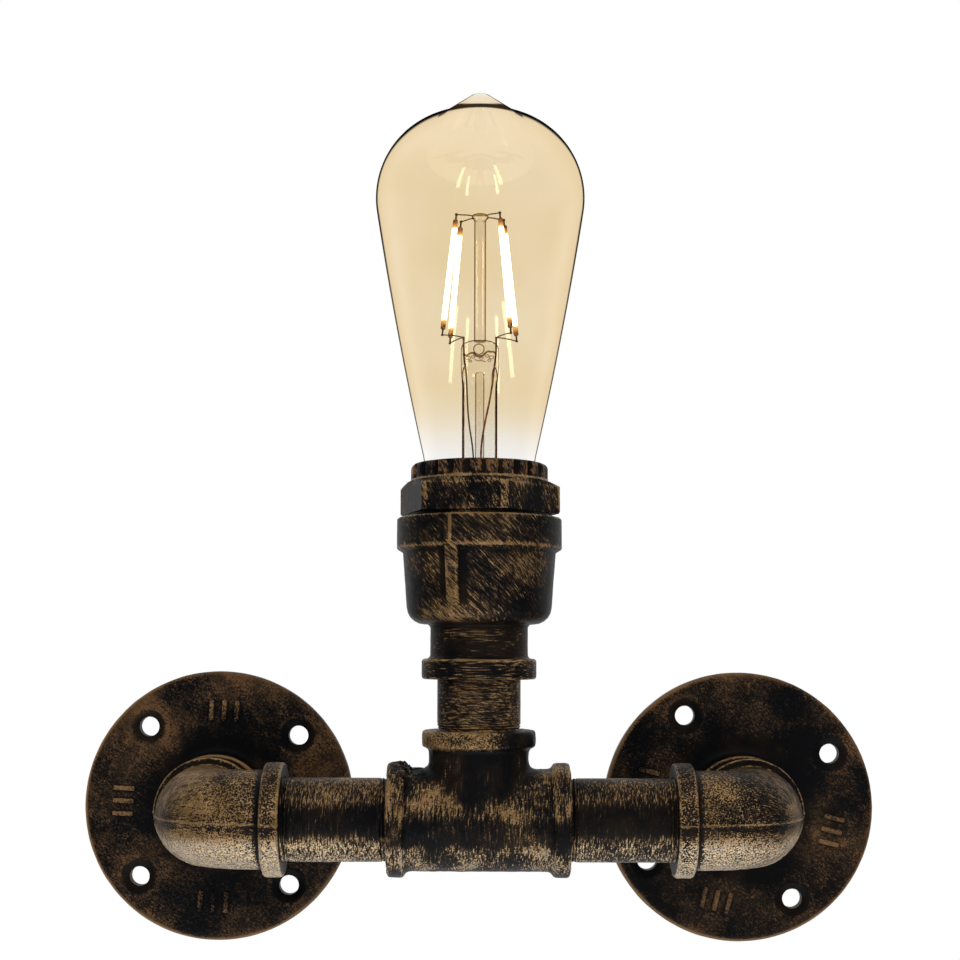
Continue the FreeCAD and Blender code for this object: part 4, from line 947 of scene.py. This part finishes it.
insideSizes = {"stem": 5.4, "foot": 96.6, "flare": 10.3, "flareTop": 104.6, "flareMiddle": (6.87, 99.0),
               "stemTop": [(0.5, 0.0), (0.45, 1.8), (0.1, 3.2), (-0.5, 4.4), (-1.2, 5.1)],
               "stemRows": (131, 127, 122, 117, 112, 108), "pinchTop": 146.0, "pinch": (132.5, 138.0),
               "pinchHalfWidth": 5.8, "pinchHalfDepth": 2.2, "tube": 1.4, "rod": 1.8,
               "button": [(-1.6, 1.8), (-0.8, 2.0), (-0.6, 2.35), (0, 2.6), (0.5, 2.4), (0.75, 1.8),
                          (0.8, 1.0), (0.8, 0.0)],
               "post": 5.0, "dumet": 0.30, "wire": 0.19, "filament": 0.77, "lowRadius": 12.2,
               "highRadius": 8.1, "lowZ": 148.8, "length": 34.0, "spread": 32.0, "turn": -9.0, "pin": 1.7}
topZ = insideSizes["lowZ"] + insideSizes["length"]
buttonZ = topZ + insideSizes["pin"]


def smoothLine(points):
    # the points steer a NURBS spline, which is read back as a fine line
    data = bpy.data.curves.new("route", "CURVE")
    data.dimensions = "3D"
    spline = data.splines.new("NURBS")
    spline.points.add(len(points) - 1)
    for k, point in enumerate(points):
        spline.points[k].co = (*point, 1.0)
    spline.order_u = 3
    spline.use_endpoint_u = True
    spline.resolution_u = 10
    route = bpy.data.objects.new("route", data)
    mesh = bpy.data.meshes.new_from_object(route)
    line = np.array([vert.co[:] for vert in mesh.vertices], float)
    bpy.data.objects.remove(route)
    bpy.data.curves.remove(data)
    bpy.data.meshes.remove(mesh)
    return line


def unit(values):
    return values / np.linalg.norm(values, axis=-1, keepdims=True)


def pathPlace(points, smooth=False):
    # a line through straight runs, or steered by the points, in mm, with a frame carried along it
    line = smoothLine(points) if smooth and len(points) > 2 else np.array(points, float)
    legs = np.linalg.norm(np.diff(line, axis=0), axis=1)
    line = line[np.concatenate([[True], legs > 1e-6])]
    reach = np.concatenate([[0], np.cumsum(np.linalg.norm(np.diff(line, axis=0), axis=1))])
    ways = unit(np.gradient(line, reach, axis=0))
    side = np.cross(ways[0], (0.31, 0.27, 0.91) if abs(ways[0][2]) < 0.8 else (0.9, 0.4, 0.1))
    sides = []
    for way in ways:
        side = unit(side - way * (side @ way))
        sides.append(side)
    sides = np.array(sides)

    def pick(values, at):
        return np.stack([np.interp(at, reach, values[:, k]) for k in range(3)], 1)

    def place(at):
        way, first = unit(pick(ways, at)), pick(sides, at)
        first = unit(first - way * (first * way).sum(1)[:, None])
        return pick(line, at), first, np.cross(way, first)
    return place, reach[-1]


def wire(points, radius, smooth=True, step=0.6, count=12, name="wire"):
    place, length = pathPlace(points, smooth)
    middle = max(2, int(length / step))
    rows = [(0.0, 0.0), (0.0, radius * 0.6), (radius * 0.4, radius)]
    rows += [(length * k / middle, radius) for k in range(1, middle)]
    rows += [(length - radius * 0.4, radius), (length, radius * 0.6), (length, 0.0)]
    return ring(name, rows, place, columns(count), closed=False)


def gather(name, parts):
    # several meshes become one object
    work = bmesh.new()
    for part in parts:
        work.from_mesh(part.data)
    made = addedWork(name, work)
    for part in parts:
        bpy.data.objects.remove(part)
    return made


# lines pressed into the pinch, as ((x, z) points seen from the front, radius),
# and bubbles, as (x, z, half wide, half high)
pinchFolds = [
    ([(-5.0, 142.0), (-4.4, 141.3), (-3.5, 141.6), (-2.6, 142.3), (-1.7, 142.1)], 0.26),
    ([(-1.9, 142.2), (-1.3, 141.2), (-0.2, 141.1), (1.0, 141.2), (1.6, 142.1)], 0.34),
    ([(1.6, 142.0), (2.4, 142.8), (3.4, 142.4), (4.2, 142.7), (5.0, 141.9)], 0.27),
    ([(-4.9, 141.4), (-4.6, 140.3), (-4.9, 139.2), (-4.3, 138.2)], 0.20),
    ([(5.0, 141.6), (4.5, 140.6), (4.8, 139.4), (4.3, 138.4)], 0.20),
    ([(-1.6, 140.2), (-0.6, 139.6), (0.7, 139.9), (1.8, 139.4)], 0.13),
]
pinchBubbles = [(-3.6, 140.6, 0.8, 0.5), (-2.1, 140.9, 0.5, 0.4), (0.4, 140.5, 0.7, 0.3),
                (2.2, 141.2, 0.6, 0.4), (3.5, 140.8, 0.7, 0.5), (-2.9, 139.6, 0.5, 0.3),
                (2.9, 139.9, 0.5, 0.4)]


def stemPieces():
    size = insideSizes
    high, stem, halfWidth, halfDepth, tube = take(size, "pinchTop stem pinchHalfWidth pinchHalfDepth tube")
    top, middle, flare, foot = take(size, "flareTop flareMiddle flare foot")
    outer = [(high + up, r) for up, r in size["stemTop"]] + [(high - 1.2 - k, stem) for k in range(1, 13)]
    outer += [(z, stem) for z in (*size["stemRows"], top)]
    outer += [(z, r) for r, z in threePointArc((stem, top), middle, (flare, foot), 8)]

    def flattened(at, radius, angle):
        wide, deep = np.abs(np.cos(angle)) / halfWidth, np.abs(np.sin(angle)) / halfDepth
        return radius * (1 + eased(at, *size["pinch"]) * ((wide ** 4 + deep ** 4) ** -0.25 / stem - 1))

    glass = clearGlassFinish("stem_glass", (0.985, 0.975, 0.955), (0.20, 0.115, 0.055), 0.44, 0.60)
    glassPiece("stem_tube", outer, 72, glass, "bulb_stem", shape=flattened)
    near = axisY - halfDepth - 0.15

    def loop(x, z, wide, tall, radius, count):
        turns = np.linspace(0, 2 * math.pi, count)
        points = [(x + wide * math.cos(turn), near, z + tall * math.sin(turn)) for turn in turns]
        return wire(points, radius, False, 0.3, 8)

    folds = [loop(-0.3, 143.3, 1.6, 1.6, 0.17, 25)]
    for line, radius in pinchFolds:
        folds.append(wire([(x, near + 0.2 * (abs(x) > 4), z) for x, z in line], radius, True, 0.25, 8))
    folds += [loop(*bubble, 0.11, 13) for bubble in pinchBubbles]
    for x, wide in ((-4.75, 0.6), (4.55, 0.8)):       # the tube's shoulders each side
        arch = [(-wide, 133.2), (-wide, 136.6), (0, 138.6), (wide, 136.6), (wide, 134.6)]
        folds.append(wire([(x + off, axisY, z) for off, z in arch], 0.20, True, 0.3, 8))
    glass = clearGlassFinish("pressed_glass", (0.62, 0.48, 0.31), (0.045, 0.022, 0.010), 0.15, 0.50)
    dress(gather("pinch_press_marks", folds), glass, "bulb")
    outer = [(106.1, 1.0), (106.1, tube), (116, tube), (126, tube), (136.1, tube), (136.5, 1.0)]
    glass = clearGlassFinish("exhaust_glass", (0.98, 0.965, 0.94), (0.44, 0.31, 0.19), 0.28, 0.56)
    glassPiece("exhaust_glass", outer, 32, glass, "bulb_exhaust_tube", 40)
    outer = [(high + 0.01, 0.0), (high + 0.01, size["rod"])]
    outer += [(high + 3 + 3 * k, size["rod"]) for k in range(12)]
    outer += [(buttonZ + up, r) for up, r in size["button"]]
    glass = clearGlassFinish("rod_glass", (0.975, 0.96, 0.93), (0.42, 0.29, 0.17), 0.30, 0.62)
    glassPiece("centre_glass_rod", outer, 48, glass, "bulb_centre_rod")


def leadFinish():
    paint = newFinish("lead_wire_oxidised")
    where = paint.where()
    height = paint.part(where, 2)
    copper = paint.rise(height, 0.1355, 0.1375) + paint.rise(paint.part(where, 0), -0.0005, 0.0)
    copper = paint.maths("MINIMUM", copper, 1 - paint.rise(height, 0.1455, 0.1475))
    spots = paint.grain(where, 900.0, 2.0)
    steel = paint.mixed(spots, (0.035, 0.022, 0.013), (0.12, 0.085, 0.05))
    red = paint.mixed(paint.rise(spots, 0.4, 0.6), (0.10, 0.040, 0.015), (0.30, 0.14, 0.060))
    return paint.surface(paint.principled(paint.mixed(copper, steel, red), spots * 0.3 + 0.25,
                                          {"Metallic": 0.5}, (spots, 0.2, 0.00005)))


def filamentFinish():
    # yellow coat that glows nearly white, with brown ends where the chip strip has no coat
    paint = newFinish("filament_coat_lit")
    where = paint.where()
    low, high = insideSizes["lowZ"] * mm, topZ * mm
    grain = paint.grain(where, 1400.0, 2.0)
    uneven = paint.part(where, 2) + (grain - 0.5) * 0.0012

    def within(start, full, fade, end):
        begun = paint.rise(uneven, low + start, low + full)
        return begun * (1 - paint.rise(uneven, high - fade, high - end))

    lit, warm = within(0.0026, 0.0038, 0.0036, 0.0024), within(0.0006, 0.0036, 0.0034, 0.0006)
    ends = paint.mixed(paint.rise(grain, 0.40, 0.60), (0.05, 0.020, 0.008), (0.20, 0.095, 0.035))
    ends = paint.mixed(warm, ends, (0.62, 0.33, 0.11))
    glow = paint.mixed(warm, (0.0008, 0.0002, 0.0), (0.060, 0.028, 0.006))
    emission = {"Emission Color": paint.mixed(lit, glow, (1.0, 0.86, 0.58)), "Emission Strength": 9.0}
    return paint.surface(paint.principled(paint.mixed(lit, ends, (0.85, 0.62, 0.18)), 0.5, emission,
                                          (grain, 0.2, 0.0001)))


def filamentPieces():
    # gives the ends of each filament, as (its lower end, its upper end, the way between them)
    size = insideSizes
    coat, radius, spread = filamentFinish(), size["filament"], size["spread"]
    found = []
    for k, angle in enumerate((-spread, spread + 180, spread, -spread + 180)):
        angle = math.radians(angle + size["turn"])
        out = np.array((math.cos(angle), math.sin(angle), 0))
        start = out * size["lowRadius"] + (0, axisY, size["lowZ"])
        end = out * size["highRadius"] + (0, axisY, topZ)
        place, length = pathPlace([start, end])
        tip = [(0.0, 0.0), (0.0, radius * 0.6), (0.15, radius * 0.9), (0.4, radius)]
        rows = tip + [(0.4 + (length - 0.8) * i / 30, radius) for i in range(1, 30)]
        rows += [(length - along, wide) for along, wide in reversed(tip)]
        number = str(k + 1)
        made = ring("filament_rod_" + number, rows, place, columns(20), closed=False)
        dress(made, coat, "bulb", "filament_" + number, 40)
        found.append((start, end, unit(end - start)))
    return found


# the leads below the pinch, one dark and bowed, one copper and crossing to the middle,
# as (x, y from the axis, z)
leadPaths = {
    -1: [(-4.3, 0, 137.4), (-4.0, 0, 134.0), (-3.8, 0, 127.0), (-3.2, -0.5, 120.0), (-2.0, -1.0, 113.0),
         (-1.6, -1.6, 104.0), (-2.0, -0.8, 95.0), (0.0, 0, 84.6)],
    1: [(4.3, 0, 137.4), (4.1, 0, 134.5), (3.1, -1.0, 128.0), (1.6, -2.0, 121.0), (0.3, -2.1, 113.0),
        (0.6, -2.0, 104.0), (2.0, 0.8, 95.0), (10.3, 0, 93.2)],
}
leadThick = {-1: 1.3, 1: 1.6}        # times the wire


def leadPieces(filaments):
    size = insideSizes
    metal, thick, dumet, pin = leadFinish(), size["wire"], size["dumet"], size["pin"]
    upper = []
    for start, end, way in filaments:
        tip = end + way * pin
        flat = unit(np.array((tip[0], tip[1] - axisY, 0)))
        foot = flat * 2.3 + (0, axisY, buttonZ)
        arm = [foot, foot + flat * 1.2 + (0, 0, 0.25), tip - flat * 0.8 - (0, 0, 0.1), tip]
        upper.append(wire(arm, thick))
        upper.append(wire([end - (0, 0, 0.2), tip - (0, 0, 0.2)], thick * 1.5, False, 0.3))
        upper.append(wire([tip - (0, 0, 0.45), tip + (0, 0, 0.3)], thick * 2.4, False, 0.15))
    dress(gather("upper_support_wires", upper), metal, "bulb", "bulb_upper_wires", 40)
    feet = [(start, start - way * pin) for start, end, way in filaments]
    crossing = feet[0][1][2]
    for side, name in sideNames.items():
        x = side * size["post"]
        post = [(x, axisY, crossing + 0.3), (x, axisY, 146.0), (side * 4.8, axisY, 141.0)]
        seal = [(x, 146.6), (x, 143.0), (side * 4.6, 139.0), (side * 4.2, 136.6)]
        below = [(acrossX, axisY + outY, height) for acrossX, outY, height in leadPaths[side]]
        parts = [wire(post, thick, True, 0.8), wire([(out, axisY, z) for out, z in seal], dumet, True, 0.5),
                 wire(below, thick * leadThick[side], True, 0.8)]
        for start, tip in feet:
            if tip[0] * side > 0:
                hook = np.array((x, axisY, crossing + 0.2))
                parts += [wire([hook, (hook + tip) / 2 + (0, 0, 0.45), tip], thick, True, 0.4),
                          wire([start + (0, 0, 0.2), tip - (0, 0, 0.3)], thick * 1.5, False, 0.3),
                          wire([tip - (0, 0, 0.3), tip + (0, 0, 0.3)], thick * 2.2, False, 0.15)]
        parts.append(wire([(x, axisY, crossing - 0.6), (x, axisY, crossing + 0.5)], thick * 1.8, False, 0.3))
        dress(gather(name + "_lead_wires", parts), metal, "bulb", "bulb_%s_lead" % name, 40)


stemPieces()
leadPieces(filamentPieces())
print("bulb and its inside made")


# Brass screw cap of the bulb and the brass shell it turns in, with the same rolled thread

threadSizes = {"pitch": 3.629, "depth": 1.05, "capRadius": 12.575, "capWall": 0.5, "capLow": 81.8,
               "capHigh": 104.6, "coneTop": 84.4, "rimLow": 101.6, "rimRadius": 13.3, "coneRadius": 10.0,
               "shellRadius": 12.875, "shellWall": 0.5, "shellLow": 77.0, "shellHigh": 100.8,
               "shellThreadLow": 79.0, "step": 0.3, "holeX": 3.6, "screwY": 10.9, "screwHole": 1.65}
outside, inside = 20.0, 10.0      # told apart by shape, which gives the real radius


def threadWave(z, angle, low, high, rest):
    pitch, depth = take(threadSizes, "pitch depth")
    height = eased(z, low, low + pitch / 2) - eased(z, high - pitch / 2, high)
    wave = np.cos(2 * np.pi * (z - tipZ) / pitch - angle)
    return (height * wave + (1 - height) * rest) * depth / 2


def metalFinish(name, dark, pale, rough):
    paint = newFinish(name)
    where = paint.where()
    blot = paint.grain(where, 60.0, 3.0)
    fine = paint.grain(where, 1200.0, 2.0)
    colour = paint.mixed(paint.rise(blot * 0.6 + fine * 0.4, 0.3, 0.7), dark, pale)
    return paint.surface(paint.principled(colour, fine * 0.25 + rough, {"Metallic": 1.0},
                                          (fine + blot, 0.2, 0.00008)))


brass = metalFinish("spun_brass", (0.50, 0.31, 0.10), (0.78, 0.57, 0.25), 0.18)


def capPiece():
    low, high, top, rim, step, wall = take(threadSizes, "capLow capHigh coneTop rimLow step capWall")
    capRadius, depth, coneRadius, rimRadius = take(threadSizes, "capRadius depth coneRadius rimRadius")
    rows = [*np.arange(low, high, step), high]
    root = capRadius - depth / 2

    def shape(at, radius, angle):
        narrow = (1 - eased(at, low - 2.6, top)) * (root - coneRadius) * 2
        wide = eased(at, rim, rim + 1.0) * (rimRadius - root)
        skin = capRadius - narrow + wide + threadWave(at, angle, top, rim, -1)
        return skin - np.where(radius == outside, 0, wall)

    outline = [(z, outside) for z in rows] + [(z, inside) for z in reversed(rows)]
    made = ring("bulb_screw_cap", outline, standing(), columns(72), shape)
    dress(made, brass, "bulb", "bulb_cap", 40)


def shellPiece():
    low, high, wall, step, threadLow = take(threadSizes, "shellLow shellHigh shellWall step shellThreadLow")
    shellRadius, holeX, screwY, hole = take(threadSizes, "shellRadius holeX screwY screwHole")
    rows = [*np.arange(low, high, step), high]
    outline = [(low, holeX)] + [(z, outside) for z in rows]
    outline += [(z, inside) for z in reversed(rows) if z > low + wall]
    outline += [(low + wall, inside), (low + wall, holeX)]

    def shape(at, radius, angle):
        skin = shellRadius + threadWave(at, angle, threadLow, high, 1)
        return np.where(radius == outside, skin + wall, np.where(radius == inside, skin, radius))

    made = ring("socket_shell", outline, standing(), columns(72), shape)
    drill = [(low - 1, 0.0), (low - 1, hole), (low + 1, hole), (low + 1, 0.0)]
    cutter = ring("cutter", drill, standing(y=axisY + screwY), columns(24), closed=False)
    cutOrJoin(made, [cutter], "DIFFERENCE")
    dress(made, brass, "head", "screw_shell", 40)


capPiece()
shellPiece()


# Cable through the pipes, with its three cores bared at both ends, as (body, slot, radius, route)

cableRoutes = {
    "elbow_cable": ("wall_fittings", "cable_sheath", 3.1, [(-86, -20, 0), (-86, -48, 0), (-59.05, -48, 0)]),
    "arm_cable": ("arm", "cable_sheath", 3.1,
                  [(-58.95, -48, 0), (-38, -48, 0), (0, -48, 0), (0, -48, 27.35)]),
    "head_cable": ("head", "cable_sheath", 3.1, [(0, -48, 27.45), (0, -48, 62.1)]),
    "tail_live": ("wall_fittings", "core_brown", 0.9, [(-86, -20, 2), (-86, -12, 2)]),
    "tail_neutral": ("wall_fittings", "core_blue", 0.9, [(-87.73, -20, -1), (-87.73, -12, -1)]),
    "tail_earth": ("wall_fittings", "core_green_yellow", 0.9, [(-84.27, -20, -1), (-84.27, -12, -1)]),
    "core_live": ("head", "core_brown", 0.9, [(0, -50, 62.1), (0, -50, 70.5), (0, -55.5, 70.5)]),
    "core_neutral": ("head", "core_blue", 0.9, [(0, -46, 62.1), (0, -46, 70.5), (0, -37.5, 70.5)]),
    "core_earth": ("head", "core_green_yellow", 0.9,
                   [(2, -48, 62.1), (2, -48, 65), (1.87, -43.36, 64.2), (2.94, -40.72, 64.2)]),
}


def plainFinish(name, dark, pale, rough, scale=80.0, bumpDepth=0.0001, coat=0.0):
    paint = newFinish(name)
    where = paint.where()
    fine = paint.grain(where, scale * 12, 2.0)
    colour = paint.mixed(paint.rise(paint.grain(where, scale, 3.0), 0.35, 0.65), dark, pale)
    return paint.surface(paint.principled(colour, fine * 0.2 + rough, {"Coat Weight": coat},
                                          (fine, 0.25, bumpDepth)))


def stripedFinish(name):
    paint = newFinish(name)
    where = paint.where()
    wave = paint.node("ShaderNodeTexWave", {"bands_direction": "DIAGONAL"},
                      {"Vector": where, "Scale": 110.0})
    fine = paint.grain(where, 900.0, 2.0)
    colour = paint.mixed(paint.rise(wave, 0.48, 0.52), (0.03, 0.20, 0.04), (0.75, 0.62, 0.04))
    return paint.surface(paint.principled(colour, fine * 0.2 + 0.35, bump=(fine, 0.2, 0.00005)))


# The CAD nodes that stay get their own finishes, by their material slots

nodeFinishes = {
    "brass": brass,
    "zinc_steel": metalFinish("zinc_plated_steel", (0.42, 0.42, 0.43), (0.66, 0.66, 0.65), 0.25),
    "white_porcelain": plainFinish("glazed_porcelain", (0.78, 0.76, 0.71), (0.86, 0.85, 0.81), 0.12, 60.0,
                                   0.00006, 0.4),
    "cable_sheath": plainFinish("black_rubber_sheath", (0.012, 0.012, 0.012), (0.028, 0.027, 0.026), 0.5),
    "core_brown": plainFinish("brown_core", (0.13, 0.05, 0.02), (0.19, 0.075, 0.03), 0.35),
    "core_blue": plainFinish("blue_core", (0.015, 0.07, 0.32), (0.025, 0.11, 0.45), 0.35),
    "core_green_yellow": stripedFinish("striped_core"),
    "black_insulator": plainFinish("black_glass_insulator", (0.010, 0.010, 0.012), (0.022, 0.021, 0.024),
                                   0.15),
}
for name, (body, slot, radius, route) in cableRoutes.items():
    made = wire(route, radius, True, 1.2 if radius > 2 else 0.5, 28, name + "_skin")
    dress(made, nodeFinishes[slot], body, name)
for node in nodes.values():
    for place in node.material_slots:
        kind = place.material.name.split(".")[0] if place.material else ""
        if kind in nodeFinishes:
            place.material = nodeFinishes[kind]
print("carried nodes finished")


# Floor, lights and camera

# the floor lies below the bulb when the arm hangs it upside down and unscrewed
stageSizes = {"floorZ": -0.262, "floorReach": 0.46, "plainReach": 0.26, "whiteReach": 0.44, "rings": 24,
              "around": 96}
cameraPlace = {"x": 0.00025, "y": -0.538, "z": 0.0501, "focal": 1607.6, "pitch": 1.6, "roll": 0.15,
               "horizon": 175.0, "sensor": 36.0, "pixels": 960}
studioLights = {
    "key": {"place": (-0.5, -0.9, 0.9), "size": 0.7, "power": 14.0},
    "fill": {"place": (0.8, -0.6, 0.35), "size": 0.7, "power": 6.0},
    "low": {"place": (0.0, -0.75, -0.12), "size": 0.5, "power": 3.0},
}


def makeFloor():
    floorZ, reach, plainReach, whiteReach = take(stageSizes, "floorZ floorReach plainReach whiteReach")
    rings, around = take(stageSizes, "rings around")
    paint = newFinish("studio_floor")
    where = paint.where()
    across = paint.multiplied(where, (1, 1, 0))
    away = paint.node("ShaderNodeVectorMath", {"operation": "LENGTH"}, {0: across}, 1)
    colour = paint.mixed(paint.grain(where, 90.0, 3.0), (0.86, 0.86, 0.86), (0.90, 0.90, 0.90))
    plain = paint.principled(colour, 0.9, {"Specular IOR Level": 0.1})
    far = paint.rise(away, plainReach, whiteReach)
    white = paint.node("ShaderNodeEmission", {}, {"Color": (1, 1, 1), "Strength": 1.0})
    rows = [(0.0, reach / mm * (i / rings) ** 2) for i in range(rings + 1)]
    floor = ring("studio_floor", rows, standing(y=0), columns(around), closed=False)
    floor.data.materials.append(paint.surface(paint.mixShader(far * paint.ray("Camera"), plain, white)))
    floor.location = (0, axisY * mm, floorZ)


def makeWorld():
    # the camera sees white; gloss sees the white backdrop behind, and a dark room in front
    paint = Paint(bpy.data.worlds.new("studio"))
    way = paint.node("ShaderNodeTexCoord", out="Generated")
    back = paint.rise(paint.part(way, 1), -0.15, 0.85)
    roof = paint.rise(paint.part(way, 2), 0.60, 0.95)
    room = paint.mixed(back, (0.014, 0.014, 0.015), (0.85, 0.85, 0.85))
    mirrored = paint.mixed(roof, room, (0.50, 0.50, 0.51))
    plain = paint.mixed(paint.ray("Glossy"), (0.5, 0.5, 0.5), mirrored)
    seen = paint.maths("MAXIMUM", paint.ray("Camera"), paint.ray("Transmission"))
    colour = paint.mixed(seen, plain, (1, 1, 1))
    background = paint.node("ShaderNodeBackground", {}, {"Color": colour, "Strength": 1.0})
    bpy.context.scene.world = paint.surface(background, "World")


def makeLights():
    target = Vector((0, axisY * mm, 0.03))
    for name, light in studioLights.items():
        data = bpy.data.lights.new(name, "AREA")
        data.shape, data.size, data.energy = "DISK", light["size"], light["power"]
        lamp = added(name, data)
        lamp.location = light["place"]
        lamp.visible_glossy = False
        lamp.rotation_mode = "QUATERNION"
        lamp.rotation_quaternion = (target - Vector(light["place"])).to_track_quat("-Z", "Y")


def makeCamera():
    x, y, z, roll = take(cameraPlace, "x y z roll")
    focal, horizon, sensor, pixels = take(cameraPlace, "focal horizon sensor pixels")
    data = bpy.data.cameras.new("camera")
    data.sensor_width = sensor
    data.lens = focal * sensor / pixels
    pitch = math.radians(cameraPlace["pitch"])
    data.shift_y = (horizon - focal * math.tan(pitch)) / pixels
    camera = added("camera", data)
    camera.location = (x, y, z)
    level = Euler((math.pi / 2 + pitch, 0, 0)).to_quaternion()
    camera.rotation_mode = "QUATERNION"
    camera.rotation_quaternion = level @ Quaternion(upward, math.radians(roll))
    bpy.context.scene.camera = camera


makeFloor()
makeWorld()
makeLights()
makeCamera()
bpy.context.scene.view_settings.view_transform = "Standard"
print("studio made")
